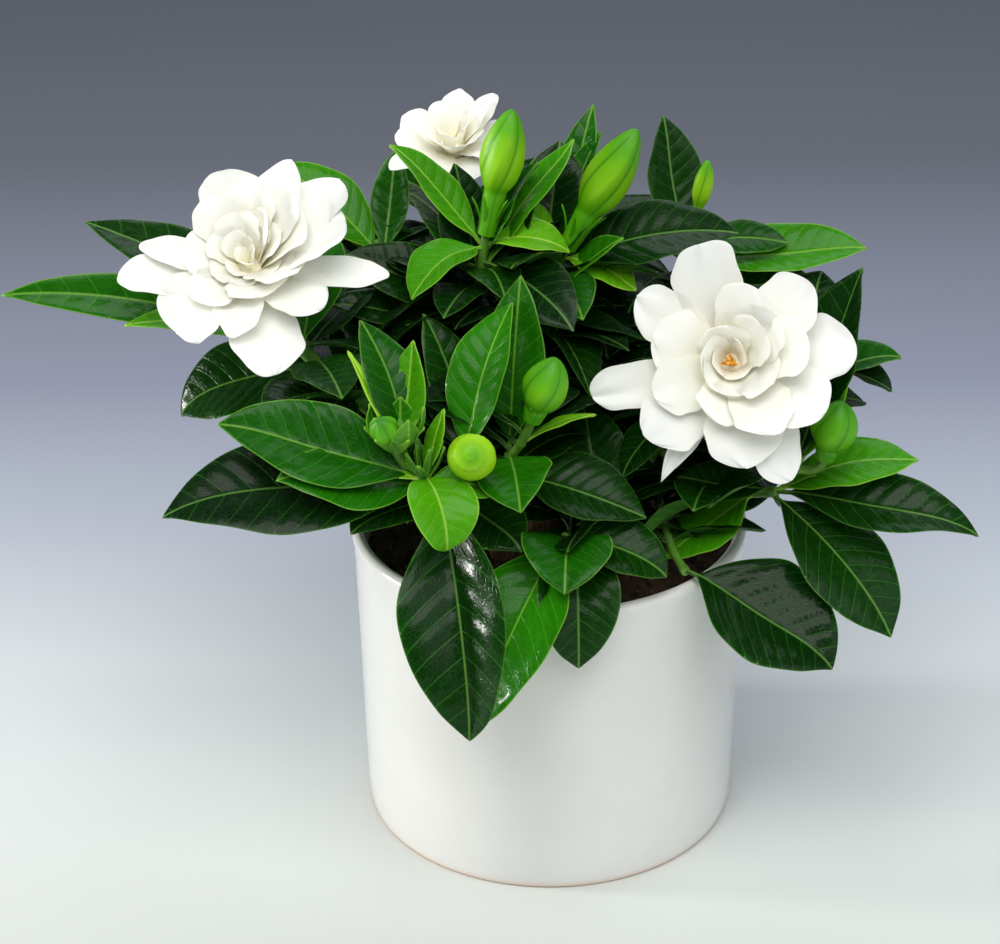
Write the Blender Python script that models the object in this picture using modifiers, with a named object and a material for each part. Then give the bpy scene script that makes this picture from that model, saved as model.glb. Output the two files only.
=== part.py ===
"""Potted gardenia: a double-flowered gardenia bush in a plain glazed cover pot.

The pot stands on z = 0 with its axis on Z and +X to the right of its front, which faces -Y.
Lengths in the tables are millimetres, angles are degrees, and MM turns a length into metres.
A bearing is the compass direction that a leaf or stem points in, seen from above: 0 is +X,
90 is +Y, 180 is -X and -90 is -Y, the front. A rise is the angle above level.
"""
import math

import bmesh
import bpy
import numpy as np
from mathutils import Vector

MM = 0.001
GAP = 0.3                       # clearance between pieces that touch

# Pot, turned round Z
RIM_RADIUS = 70.0               # outside of the lip
FOOT_RADIUS = 67.0              # outside of the wall just above the foot
POT_HEIGHT = 114.0
WALL = 3.4
LIP_FLARE = 0.9                 # how far the lip stands out from the wall
FLOOR_THICKNESS = 6.0
FOOT_BEVEL = 2.0
POT_STEPS = 44

# Potting mix, a plug that fills the pot
SOIL_EDGE = 100.0
SOIL_CROWN = 103.0
ROOT_DEPTH = 22.0               # how deep the woody stems stand in the mix
WOOD_RADIUS = 4.0
SHOOT_START = 6.4               # from the middle of a knuckle to the foot of a shoot

# Green stems and blades
STEM_RADIUS = 1.9
HEAD_RADIUS = 1.5
CALYX_RADIUS = 3.0
SEAT_GAP = 1.0                  # from the end of a stem to the bud or bloom on it
PETIOLE_HALF_WIDTH = 0.9
BLADE_HALF_THICKNESS = 0.55
PETAL_HALF_THICKNESS = 0.5

# A woody stem: where it stands in the mix, and its knuckle (x, y, z)
WOODY_STEMS = {
    "left": ((-17, -12), (-24, -24, 136)),
    "right": ((18, -8), (26, -14, 134)),
    "middle": ((-4, 10), (-8, 14, 146)),
    "back": ((12, 20), (16, 26, 140)),
}


def whorl(up, bearing, rise, length, width):
    """Rows for three inner leaves at one height, spread evenly from the first bearing."""
    return [(up, bearing + 120 * k, rise, length, width, 30) for k in range(3)]


# A leafy shoot: its woody stem, then the green stems that it forks into.
# A stem row: the earlier stem that it leaves (None for the knuckle) and how far up that one,
# the control point and head of its path, and its leaves.
# A leaf row: up the path (0 to 1), bearing, rise at the base, length, width, droop, roll.
# A row without a roll is an inner leaf, that the outer ones hide: it lies flat and is coarser.
SHOOTS = {
    "shoot_front_left": ("left", [
        (None, 0, (-36, -52, 144), (-42, -72, 166), [
            (0.75, -171, 13, 90, 37, 20, -40),
            (0.92, 180, 31, 70, 29, 25, -35),
            (0.97, -176, 17, 47, 22, 25, -35),
            (0.97, -68, -22, 29, 24, 50, 0),
            (0.65, -78, -15, 86, 38, 84, 12),
            (0.97, -6, 0, 25, 16, 20, 20),
            (0.97, 172, 8, 22, 5, -20, -20),
            (0.97, 50, 60, 24, 8, -10, 0),
            (0.35, -150, 15, 40, 26, 30),
            (0.35, -50, 10, 36, 24, 30),
        ]),
        (0, 0.60, (-28, -55, 165), (-27, -66, 171), [
            (0.50, 54, 58, 57, 24, -10, 0),
        ]),
        (0, 0.80, (-47, -64, 162), (-51, -72, 178), [
            (0.80, 75, 60, 38, 14, 0, 0),
            (0.90, 140, 62, 36, 5, 10, 0),
            (0.50, 125, 68, 54, 20, 10, 0),
        ]),
        (0, 0.12, (-16, -44, 146), (-14, -50, 163), [
            (0.97, 75, 72, 63, 23, 10, 0),
            (0.97, -85, 19, 40, 25, 35, 0),
            (0.70, -14, -4, 48, 27, 25, 25),
            (0.50, 135, 62, 62, 22, 5, 0),
            (0.60, 40, 25, 40, 24, 30),
            (0.50, 170, 20, 40, 24, 30),
        ]),
        (3, 0.96, (-10, -56, 169), (-7, -57, 178), [
            (0.50, 8, 30, 27, 7, 20, 0),
        ]),
    ]),
    "shoot_left": ("left", [
        (None, 0, (-88, -17, 183), (-96, -27, 215), [
            (0.70, 175, 12, 98, 16, 5, -50),
            (0.50, 161, 38, 98, 28, 20, -25),
            (0.52, 167, -4, 58, 32, 30, -35),
            (0.66, -170, 24, 58, 15, 25, -30),
            (0.62, 80, 40, 50, 24, 20, 0),
            (0.60, 100, 15, 60, 28, 30),
            (0.35, 60, 20, 46, 26, 30),
            (0.40, 120, 20, 50, 26, 30),
        ]),
        (0, 0.15, (-52, -14, 138), (-74, -8, 158), [
            (0.97, 150, 20, 50, 26, 35),
            (0.97, -160, 20, 34, 24, 40, -20),
            (0.70, 120, 5, 60, 30, 30),
            (0.50, -150, -5, 34, 26, 20, -20),
            (0.97, 60, 50, 44, 22, 30),
            (0.45, 30, 30, 40, 24, 30),
        ]),
    ]),
    "shoot_front_right": ("right", [
        (None, 0, (10, -38, 126), (4, -58, 136), [
            (0.90, -94, 19, 34, 30, 50, 0),
            (0.90, -132, -10, 76, 33, 78, 0),
            (0.75, -89, -6, 52, 28, 80, 0),
            (0.97, -15, 5, 37, 23, 40, 20),
            *whorl(0.55, 20, 30, 38, 26),
            (0.30, 100, 65, 40, 24, 20, 0),
        ]),
    ]),
    "shoot_right": ("right", [
        (None, 0, (62, -23, 179), (59, -43, 191), [
            (0.40, 20, 45, 50, 22, 20, 20),
            (0.50, -150, 20, 34, 20, 30, -20),
            (0.20, 60, 30, 44, 26, 30),
            (0.20, -60, 30, 44, 26, 30),
        ]),
        (0, 0.40, (86, -43, 143), (90, -47, 158), [
            (0.30, 46, 46, 74, 26, 5, 0),
            (0.60, 33, 55, 36, 12, 0, 0),
            (0.80, -60, -5, 30, 22, 40, 20),
        ]),
        (0, 0.12, (54, -22, 130), (76, -36, 141), [
            (0.97, -14, 6, 71, 26, 20, 32),
            (0.94, -37, -20, 65, 34, 35, 12),
            (0.97, -2, 20, 51, 18, 10, 25),
            (0.97, 4, 22, 23, 8, 0, 0),
            (0.97, 172, 15, 33, 17, 20, -30),
            (0.85, -165, -22, 38, 25, 20, -20),
            (0.50, -105, 26, 37, 20, 20, 0),
            (0.60, 120, 20, 44, 26, 30),
        ]),
        (0, 0.25, (74, 6, 148), (96, 10, 166), [
            (0.80, 0, 30, 38, 20, 20, 10),
            (0.97, 80, 30, 40, 24, 30),
            (0.60, 30, 0, 44, 26, 30),
            (0.97, -30, 10, 28, 18, 30),
            (0.97, 120, 10, 36, 20, 30),
            (0.45, 150, 15, 40, 26, 30),
        ]),
        (0, 0.08, (38, -34, 120), (45, -50, 118), [
            (0.97, -22, -10, 55, 42, 30, 25),
            (0.90, -80, 0, 26, 20, 60, 0),
            (0.60, -10, 25, 34, 22, 30),
        ]),
    ]),
    "shoot_top": ("middle", [
        (None, 0, (-28, 2, 186), (-21, 0, 220), [
            (0.60, 174, 30, 50, 24, 20, -30),
            (0.94, 159, 48, 47, 16, 0, -20),
            (0.94, -4, 30, 29, 13, 70, -20),
            (0.94, -138, 5, 36, 22, 40, -10),
            (0.80, -74, 32, 32, 18, 50, 0),
            (0.80, 22, 50, 55, 16, 0, 0),
            (0.45, -175, 25, 56, 20, 20, -10),
            (0.80, 62, 30, 44, 22, 20, 0),
            *whorl(0.35, -60, 25, 44, 24),
        ]),
        (0, 0.06, (-8, 8, 187), (6, 5, 213), [
            (0.94, 152, 56, 29, 14, 20, 0),
            (0.68, 50, 60, 60, 16, 0, 0),
            (0.94, -18, -5, 29, 16, 30, 20),
            (0.80, -76, 31, 42, 19, 60, 0),
            (0.68, 60, 58, 68, 18, 0, 0),
            (0.88, 0, 24, 64, 28, 25, 30),
            (0.50, -27, 53, 50, 18, 10, 10),
            (0.40, -40, 25, 46, 24, 30),
            (0.40, 80, 25, 46, 24, 30),
        ]),
    ]),
    "shoot_back_left": ("middle", [
        (None, 0, (-31, 63, 198), (-32, 53, 226), [
            (0.60, 137, 27, 44, 20, 20, -20),
            (0.60, 40, 20, 46, 24, 30),
            (0.70, 110, 10, 50, 26, 30),
            (0.50, 170, 15, 54, 26, 30),
            (0.45, 130, 0, 50, 28, 30),
        ]),
        (0, 0.15, (-48, 24, 168), (-60, 40, 203), [
            (0.90, 152, 46, 53, 22, 20, -20),
            (0.90, 78, 58, 40, 14, 0, 0),
            (0.80, 130, 20, 56, 28, 30),
            (0.60, 180, 15, 56, 28, 30, -20),
            (0.55, 110, 5, 60, 30, 30),
            (0.35, 80, 15, 46, 26, 30),
        ]),
        (1, 0.15, (-34, 62, 148), (-58, 76, 160), [
            (0.97, 150, 20, 54, 28, 35),
            (0.97, 100, 35, 50, 26, 30),
            (0.80, -170, 10, 52, 26, 30, -10),
            (0.60, 110, 0, 54, 30, 30),
            (0.97, 40, 45, 46, 22, 30),
            (0.50, 160, 10, 44, 26, 30),
        ]),
    ]),
    "shoot_back_right": ("back", [
        (None, 0, (48, 42, 175), (52, 40, 205), [
            (0.85, 117, 68, 50, 23, 0, 0),
            (0.90, -5, 18, 35, 16, 30, 20),
            (0.80, -5, 14, 64, 24, 15, 25),
            (0.50, 0, 20, 62, 22, 25, 25),
            (0.75, 70, 5, 50, 26, 30),
            (0.60, 40, 0, 54, 28, 30),
            (0.35, 150, 15, 46, 26, 30),
            (0.35, -90, 15, 46, 26, 30),
        ]),
        (0, 0.15, (50, 62, 148), (70, 64, 160), [
            (0.97, 45, 15, 54, 28, 35),
            (0.97, 0, 15, 46, 24, 35),
            (0.97, 100, 30, 46, 24, 30),
            (0.70, 70, 0, 54, 30, 30),
            (0.60, 20, 0, 50, 28, 30),
        ]),
        (0, 0.10, (4, 60, 175), (6, 76, 182), [
            (0.97, 90, 20, 56, 28, 35),
            (0.97, 160, 35, 50, 24, 35),
            (0.97, 20, 35, 50, 24, 35),
            (0.80, 120, 10, 56, 30, 30),
            (0.70, 55, 5, 56, 30, 30),
            (0.45, 80, 10, 46, 26, 30),
        ]),
    ]),
}

# A bud: the shoot and the stem that it ends, its tip, its thickest radius and its calyx tube
BUDS = {
    "bud_top": ("shoot_top", 0, (-12, -2, 265), 7.0, 14),
    "bud_upper_right": ("shoot_top", 1, (29, 0, 257), 7.4, 13),
    "bud_back_right": ("shoot_back_right", 0, (56, 38, 232), 3.4, 8),
    "bud_centre": ("shoot_front_left", 4, (1, -60, 202), 7.0, 4),
    "bud_spiral": ("shoot_front_left", 1, (-26, -86, 181), 7.8, 4),
    "bud_cluster": ("shoot_front_left", 2, (-55, -79, 192), 5.6, 3),
    "bud_right": ("shoot_right", 1, (94, -51, 181), 7.4, 4),
}
BUD_SIDES = 10
BUD_RIDGES = 5
BUD_TWIST = 150.0               # turn of the folded petals from the foot to the tip

# A bloom: the shoot whose first stem it ends, the way that it faces, its outer petals one by one, and
# its inner whorls.
# A petal row: angle round the axis, length, width, opening from the axis at foot and at tip.
# A whorl row: count, first angle, length, width, openings at foot and tip, height up the tube.
BLOOMS = {
    "bloom_left": ("shoot_left", (-0.22, -0.30, 0.93), [
        (102, 37, 25, 44, 54), (50, 39, 24, 44, 56), (30, 40, 28, 62, 86), (76, 33, 24, 52, 62),
        (168, 42, 19, 63, 86), (198, 47, 25, 55, 74), (238, 42, 30, 62, 84),
        (265, 36, 26, 69, 96), (280, 46, 29, 81, 116), (309, 37, 30, 71, 98),
        (345, 48, 20, 76, 106),
    ], [
        (5, 18, 28, 24, 42, 58, 6), (4, 60, 21, 20, 26, 34, 7), (3, 20, 14, 13, 16, 10, 8),
    ]),
    "bloom_right": ("shoot_right", (-0.12, -0.85, 0.50), [
        (103, 40, 29, 53, 70), (54, 36, 27, 66, 92), (6, 42, 28, 68, 94), (333, 38, 28, 58, 76),
        (300, 44, 26, 74, 102), (276, 34, 34, 66, 94), (237, 44, 12, 80, 112),
        (225, 38, 27, 60, 80), (192, 46, 22, 68, 92), (144, 40, 24, 72, 98),
    ], [
        (6, 20, 29, 26, 54, 76, 6), (5, 46, 21, 20, 40, 60, 7), (3, 10, 13, 14, 26, 34, 8),
    ]),
    "bloom_back": ("shoot_back_left", (-0.05, -0.35, 0.93), [
        (144, 23, 18, 62, 90), (84, 22, 18, 58, 78), (39, 24, 16, 46, 58), (216, 26, 12, 64, 88),
        (186, 22, 17, 50, 66), (246, 20, 18, 61, 82), (288, 20, 18, 64, 88),
        (330, 22, 18, 58, 78), (10, 22, 18, 60, 82),
    ], [
        (5, 30, 18, 16, 34, 40, 6), (3, 0, 12, 12, 16, 12, 8),
    ]),
}
TUBE_LENGTH = 9.0
OUTER_HEIGHTS = (3.4, 5.0)      # outer petals leave the tube by turns at these heights
THROAT_RADIUS = 3.0             # the inner petals stand this far from the axis
OUTER_ROOT = 2.3                # and the outer ones this far, inside the tube
STAMENS = 5
STAMEN_LENGTH = 5.0


# ---------------------------------------------------------------- helpers

def linear(hex_colour):
    """Scene-linear RGBA of an sRGB hex colour."""
    channels = [int(hex_colour[k:k + 2], 16) / 255 for k in (1, 3, 5)]
    return [c / 12.92 if c <= 0.04045 else ((c + 0.055) / 1.055) ** 2.4 for c in channels] + [1]


def material(name, hex_colour, roughness, subsurface=0.0):
    """A Principled material of one colour."""
    made = bpy.data.materials.get(name) or bpy.data.materials.new(name)
    made.use_nodes = True
    shader = made.node_tree.nodes["Principled BSDF"]
    shader.inputs["Base Color"].default_value = linear(hex_colour)
    shader.inputs["Roughness"].default_value = roughness
    shader.inputs["Metallic"].default_value = 0.0
    shader.inputs["Subsurface Weight"].default_value = subsurface
    return made


def unit(vector):
    """The vector scaled to length one."""
    vector = np.asarray(vector, float)
    return vector / np.linalg.norm(vector)


def bend(start, control, end, up):
    """Point of a quadratic curve at `up` (0 to 1), or a row of points for an array."""
    start, control, end = (np.asarray(p, float) for p in (start, control, end))
    up = np.asarray(up, float)[..., None]
    return (1 - up) ** 2 * start + 2 * up * (1 - up) * control + up ** 2 * end


def collection(name):
    """The collection with that name, linked to the scene."""
    made = bpy.data.collections.get(name)
    if made is None:
        made = bpy.data.collections.new(name)
        bpy.context.scene.collection.children.link(made)
    return made


def mesh_object(name, points, faces):
    """An object from points in millimetres and faces."""
    mesh = bpy.data.meshes.new(name)
    mesh.from_pydata([tuple(p) for p in np.asarray(points) * MM], [], [tuple(f) for f in faces])
    made = bpy.data.objects.new(name, mesh)
    collection("gardenia").objects.link(made)
    return made


def applied(source, name):
    """A copy of an object as its modifiers or bevel leave it, in place of the object."""
    graph = bpy.context.evaluated_depsgraph_get()
    mesh = bpy.data.meshes.new_from_object(source.evaluated_get(graph))
    made = bpy.data.objects.new(name, mesh)
    made.matrix_world = source.matrix_world
    collection("gardenia").objects.link(made)
    bpy.data.objects.remove(source)
    return made


def keep_outer_skin(mesh):
    """Drop all but the largest connected surface: small hollows that a union seals, scraps."""
    work = bmesh.new()
    work.from_mesh(mesh)
    skins, seen = [], set()
    for face in work.faces:
        if face in seen:
            continue
        skin, front = {face}, [face]
        while front:
            for edge in front.pop().edges:
                new = [near for near in edge.link_faces if near not in skin]
                skin.update(new)
                front.extend(new)
        seen |= skin
        skins.append(skin)
    largest = max(skins, key=len)
    bmesh.ops.delete(work, geom=[face for face in work.faces if face not in largest], context="FACES")
    work.to_mesh(mesh)
    work.free()


def fused(name, pieces, finish):
    """One body from the pieces, by a Boolean union on a collection, with one material."""
    body = pieces[0]
    if len(pieces) > 1:
        others = bpy.data.collections.new(name + "_pieces")
        bpy.context.scene.collection.children.link(others)
        for piece in pieces[1:]:
            collection("gardenia").objects.unlink(piece)
            others.objects.link(piece)
        union = body.modifiers.new("union", "BOOLEAN")
        union.operation = "UNION"
        union.operand_type = "COLLECTION"
        union.collection = others
        union.solver = "EXACT"
        bpy.context.view_layer.update()
        body = applied(body, name)
        for piece in list(others.objects):
            bpy.data.objects.remove(piece)
        bpy.data.collections.remove(others)
        keep_outer_skin(body.data)
    body.name = name
    body.data.name = name
    body.data.materials.clear()
    body.data.materials.append(finish)
    return body


# ---------------------------------------------------------------- stems and blades

def tube(name, points, radii, sides=6):
    """A closed tapered tube: a curve with filled caps, made a mesh, its caps welded."""
    curve = bpy.data.curves.new(name, "CURVE")
    curve.dimensions = "3D"
    curve.bevel_depth = MM
    curve.bevel_resolution = sides // 2 - 2
    curve.use_fill_caps = True
    spline = curve.splines.new("POLY")
    spline.points.add(len(points) - 1)
    for knot, point, radius in zip(spline.points, points, radii):
        knot.co = (*(Vector(point) * MM), 1)
        knot.radius = radius
    source = bpy.data.objects.new(name, curve)
    collection("gardenia").objects.link(source)
    bpy.context.view_layer.update()
    made = applied(source, name)
    welded = bmesh.new()
    welded.from_mesh(made.data)
    bmesh.ops.remove_doubles(welded, verts=welded.verts, dist=0.01 * MM)
    bmesh.ops.recalc_face_normals(welded, faces=welded.faces)
    welded.to_mesh(made.data)
    welded.free()
    return made


def blade(name, centres, sides, normals, half_widths, lifts, half_thickness):
    """A thin closed lens along a row of centres: two sharp edges, a ridge above and below.

    The last centre is the tip. Each half of the blade is split alike above and below.
    """
    body = len(centres) - 1
    across = half_widths[:body, None] * sides[:body]
    lift = lifts[:body, None] * normals[:body]
    thick = half_thickness[:body, None] * normals[:body]
    rows = [centres[:body] - across + lift, centres[:body] + thick,
            centres[:body] + across + lift, centres[:body] - thick]
    points = np.concatenate([np.stack(rows, 1).reshape(-1, 3), centres[-1:]])
    tip = len(points) - 1
    faces = [(0, 1, 2), (0, 2, 3)]
    for k in range(body - 1):
        left, top, right, under = range(4 * k, 4 * k + 4)
        left2, top2, right2, under2 = range(4 * k + 4, 4 * k + 8)
        faces += [(left, left2, top2), (left, top2, top), (top, top2, right), (top2, right2, right),
                  (left, under2, left2), (left, under, under2),
                  (under, right, under2), (under2, right, right2)]
    left, top, right, under = range(4 * body - 4, 4 * body)
    faces += [(left, tip, top), (top, tip, right), (left, under, tip), (under, right, tip)]
    return mesh_object(name, points, faces)


LEAF_STATIONS = np.array([0.0, 0.09, 0.26, 0.48, 0.70, 0.88, 1.0])
INNER_STATIONS = np.array([0.0, 0.12, 0.42, 0.76, 1.0])
LEAF_FOLD = 14.0                # how far each half is folded up from flat


def leaf_outline(along):
    """Half width of a leaf, as a share of the widest: narrow at its base, full at its tip."""
    along = np.clip((along - 0.07) / 0.93, 0, 1)
    return np.sin(np.pi * along ** 0.96) ** (1.15 - 0.4 * along)


def leaf_frame(base, bearing, rise, length, droop, roll, along):
    """Centres, sides and normals of a leaf whose rise falls evenly by `droop` to its tip."""
    turn, tilt = math.radians(bearing), math.radians(roll)
    fine = np.linspace(0, 1, 41)
    slope = np.radians(rise - droop * (fine[:-1] + fine[1:]) / 2)
    steps = np.stack([np.cos(slope) * math.cos(turn), np.cos(slope) * math.sin(turn),
                      np.sin(slope)], 1) * length / 40
    path = np.concatenate([[np.zeros(3)], np.cumsum(steps, 0)])
    centres = np.asarray(base) + np.stack([np.interp(along, fine, path[:, k]) for k in range(3)], 1)
    slope = np.radians(rise - droop * along)
    level = np.zeros((len(along), 3)) + [-math.sin(turn), math.cos(turn), 0]
    upward = np.stack([-np.sin(slope) * math.cos(turn), -np.sin(slope) * math.sin(turn),
                       np.cos(slope)], 1)
    sides = level * math.cos(tilt) + upward * math.sin(tilt)
    normals = upward * math.cos(tilt) - level * math.sin(tilt)
    return centres, sides, normals


def leaf(name, base, row):
    """A leaf on its short stalk, rooted at `base` in the middle of its stem."""
    inner = len(row) == 6
    bearing, rise, length, width, droop, roll = (*row[1:], 0) if inner else row[1:]
    along = INNER_STATIONS if inner else LEAF_STATIONS
    centres, sides, normals = leaf_frame(base, bearing, rise, length, droop, roll, along)
    half = np.maximum(width / 2 * leaf_outline(along), PETIOLE_HALF_WIDTH)
    thick = np.full(len(along), BLADE_HALF_THICKNESS)
    thick[:2] = PETIOLE_HALF_WIDTH
    lifts = half * math.tan(math.radians(LEAF_FOLD))
    lifts[:2] = 0
    return blade(name, centres, sides, normals, half, lifts, thick)


def stem_paths(name):
    """The path (start, control, head) of every stem of a shoot, in the table's order."""
    woody, rows = SHOOTS[name]
    knuckle = np.array(WOODY_STEMS[woody][1], float)
    paths = []
    for parent, up, control, head, leaves in rows:
        if parent is None:
            start = knuckle + SHOOT_START * unit(np.array(control, float) - knuckle)
        else:
            start = bend(*paths[parent], up)
        paths.append((start, control, head))
    return paths


def stem_end(shoot, number):
    """Where a stem of a shoot ends."""
    return np.array(SHOOTS[shoot][1][number][3], float)


def make_shoot(name, finish):
    """Green stems that fork from one another, and their leaves, fused in one body."""
    blooming = any(row[0] == name for row in BLOOMS.values())
    pieces = []
    for number, (path, row) in enumerate(zip(stem_paths(name), SHOOTS[name][1])):
        forked = row[0] is not None
        up = np.array([0, 0.4, 0.8, 1]) if forked else np.array([0, 0.3, 0.6, 0.9, 1])
        radii = np.linspace(HEAD_RADIUS if forked else STEM_RADIUS, HEAD_RADIUS, len(up))
        if blooming and number == 0:
            radii[-2:] = (2.2, CALYX_RADIUS)
        pieces.append(tube(f"{name}_stem_{number}", bend(*path, up), radii))
        for order, leaf_row in enumerate(row[4]):
            base = bend(*path, leaf_row[0])
            pieces.append(leaf(f"{name}_leaf_{number}_{order}", base, leaf_row))
    return fused(name, pieces, finish)


# ---------------------------------------------------------------- blooms and buds

def axes(facing):
    """Three unit vectors: the way a bloom faces, and the two that its angles run from."""
    axis = unit(facing)
    right = unit(np.array([1, 0, 0]) - axis * axis[0])
    return axis, right, np.cross(axis, right)


PETAL_STATIONS = np.array([0.0, 0.36, 0.66, 0.90, 1.0])
PETAL_OUTLINE = np.array([0.12, 0.70, 1.0, 0.82, 0.0])
PETAL_CUP = 0.22                # how far the edges curl in, as a share of the half width
PETAL_ROLL = 9.0                # each petal lies with one edge over its neighbour's


def petal(name, foot, facing, row, height, outset):
    """A petal that leaves the tube at `height`, `outset` off the axis, and opens to its tip."""
    angle, length, width, foot_opening, tip_opening = row
    axis, right, far = axes(facing)
    outward = right * math.cos(math.radians(angle)) + far * math.sin(math.radians(angle))
    along = PETAL_STATIONS
    fine = np.linspace(0, 1, 21)
    middle = np.radians(foot_opening + (tip_opening - foot_opening) * (fine[:-1] + fine[1:]) / 2)
    steps = (np.cos(middle)[:, None] * axis + np.sin(middle)[:, None] * outward) * length / 20
    path = np.concatenate([[np.zeros(3)], np.cumsum(steps, 0)])
    start = foot + axis * height + outward * outset
    centres = start + np.stack([np.interp(along, fine, path[:, k]) for k in range(3)], 1)
    opening = np.radians(foot_opening + (tip_opening - foot_opening) * along)
    normals = np.sin(opening)[:, None] * axis - np.cos(opening)[:, None] * outward
    across = np.cross(outward, axis)
    roll = math.radians(PETAL_ROLL)
    sides = across * math.cos(roll) + normals * math.sin(roll)
    normals = normals * math.cos(roll) - across * math.sin(roll)
    half = width / 2 * PETAL_OUTLINE
    return blade(name, centres, sides, normals, half, half * PETAL_CUP,
                 np.full(len(along), PETAL_HALF_THICKNESS))


def make_bloom(name, finish):
    """The white tube and every petal of a double bloom, fused in one body."""
    shoot, facing, outer, whorls = BLOOMS[name]
    axis = unit(facing)
    start = stem_end(shoot, 0) + axis * SEAT_GAP
    pieces = [tube(name + "_tube", [start, start + axis * TUBE_LENGTH * 0.4,
                                    start + axis * TUBE_LENGTH], (2.2, 3.2, 4.0))]
    for order, row in enumerate(outer):
        height = OUTER_HEIGHTS[order % 2]
        pieces.append(petal(f"{name}_outer_{order}", start, facing, row, height, OUTER_ROOT))
    for ring, (count, first, length, width, low, high, height) in enumerate(whorls):
        for k in range(count):
            row = (first + 360 / count * k, length, width, low, high)
            pieces.append(petal(f"{name}_inner_{ring}_{k}", start, facing, row, height, THROAT_RADIUS))
    return fused(name, pieces, finish)


def bud_radius(along, tube_share, thickest):
    """Radius of a bud at `along`: its calyx tube, then an egg that ends in a blunt point."""
    egg = np.clip((along - tube_share) / (1 - tube_share), 0, 1)
    calyx = 0.36 + 0.10 * np.clip(along / tube_share, 0, 1)
    return thickest * np.maximum(np.where(egg < 0.3, calyx, 0.14), np.sin(np.pi * egg ** 0.8) ** 0.62)


def make_bud(name, finish):
    """A closed bud: ridged petals wound round it, on the tube of its calyx."""
    shoot, number, tip, thickest, tube_length = BUDS[name]
    tip, head = np.array(tip, float), stem_end(shoot, number)
    axis, right, far = axes(tip - head)
    foot = head + axis * SEAT_GAP
    length = np.linalg.norm(tip - foot)
    share = tube_length / length
    along = np.concatenate([[0.0], share + (1 - share) * np.array([0.0, 0.16, 0.40, 0.66, 0.90])])
    angles = np.arange(BUD_SIDES) * 2 * math.pi / BUD_SIDES
    radii = bud_radius(along, share, thickest)
    twist = math.radians(BUD_TWIST) * np.clip((along - share) / (1 - share), 0, 1)
    turned = angles[None, :] + twist[:, None] / BUD_RIDGES
    ridge = 1 + 0.07 * np.cos(BUD_RIDGES * angles)[None, :]
    ring = right * np.cos(turned)[..., None] + far * np.sin(turned)[..., None]
    points = foot + axis * length * along[:, None, None] + ring * (radii[:, None] * ridge)[..., None]
    rows = len(along)
    points = np.concatenate([points.reshape(-1, 3), [foot, tip]])
    faces = []
    for k in range(BUD_SIDES):
        after = (k + 1) % BUD_SIDES
        faces.append((rows * BUD_SIDES, after, k))
        faces.append((rows * BUD_SIDES + 1, (rows - 1) * BUD_SIDES + k, (rows - 1) * BUD_SIDES + after))
        for row in range(rows - 1):
            low, high = row * BUD_SIDES, (row + 1) * BUD_SIDES
            faces += [(low + k, low + after, high + after), (low + k, high + after, high + k)]
    return fused(name, [mesh_object(name, points, faces)], finish)


def make_stamens(bloom, finish):
    """A tuft of stamens in the throat of a bloom, standing on its tube."""
    shoot, facing = BLOOMS[bloom][:2]
    axis, right, far = axes(facing)
    start = stem_end(shoot, 0) + axis * (SEAT_GAP + TUBE_LENGTH + GAP)
    pieces = [tube("tuft", [start, start + axis * 1.2, start + axis * 2.2], (1.2, 1.4, 1.0))]
    for k in range(STAMENS):
        turn = 2 * math.pi * k / STAMENS
        lean = right * math.cos(turn) + far * math.sin(turn)
        top = start + axis * STAMEN_LENGTH + lean * 1.4
        pieces.append(tube(f"stamen_{k}", [start + axis * 0.6, top], (0.5, 0.6), 4))
    return fused(bloom.replace("bloom", "stamens"), pieces, finish)


# ---------------------------------------------------------------- pot, mix and wood

def turned_piece(name, profile, finish, steps):
    """A profile (radius, height) in millimetres, turned round Z with a Screw modifier."""
    mesh = bpy.data.meshes.new(name)
    points = [(radius * MM, 0, height * MM) for radius, height in profile]
    mesh.from_pydata(points, [(k, k + 1) for k in range(len(points) - 1)], [])
    made = bpy.data.objects.new(name, mesh)
    collection("gardenia").objects.link(made)
    screw = made.modifiers.new("turn", "SCREW")
    screw.steps = steps
    screw.render_steps = steps
    screw.use_merge_vertices = True
    screw.merge_threshold = 0.00001
    made.data.materials.append(finish)
    return made


def inner_radius(height):
    """Inside radius of the pot wall at a height."""
    share = (height - FLOOR_THICKNESS) / (POT_HEIGHT - FLOOR_THICKNESS)
    wall = FOOT_RADIUS + (RIM_RADIUS - LIP_FLARE - FOOT_RADIUS) * share
    return wall - WALL


def make_pot():
    """The glazed pot: a slightly tapered cylinder with a rounded lip and a bevelled foot."""
    lip = 2.6
    neck = RIM_RADIUS - LIP_FLARE
    inside = inner_radius(POT_HEIGHT - lip)
    profile = [
        (0, FLOOR_THICKNESS), (inner_radius(FLOOR_THICKNESS) - 4, FLOOR_THICKNESS),
        (inner_radius(FLOOR_THICKNESS + 4), FLOOR_THICKNESS + 4), (inside, POT_HEIGHT - lip),
        (inside + 0.5, POT_HEIGHT - 0.9), (inside + 1.7, POT_HEIGHT), (RIM_RADIUS - 1.6, POT_HEIGHT),
        (RIM_RADIUS - 0.4, POT_HEIGHT - 0.9), (RIM_RADIUS, POT_HEIGHT - lip),
        (RIM_RADIUS - 0.3, POT_HEIGHT - 5), (neck, POT_HEIGHT - 9), (FOOT_RADIUS, 3 + FOOT_BEVEL),
        (FOOT_RADIUS - 0.7, FOOT_BEVEL), (FOOT_RADIUS - FOOT_BEVEL - 0.7, 0), (0, 0),
    ]
    finish = material("glazed_earthenware", "#f2f2f0", 0.15)
    return turned_piece("pot", profile, finish, POT_STEPS)


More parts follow.
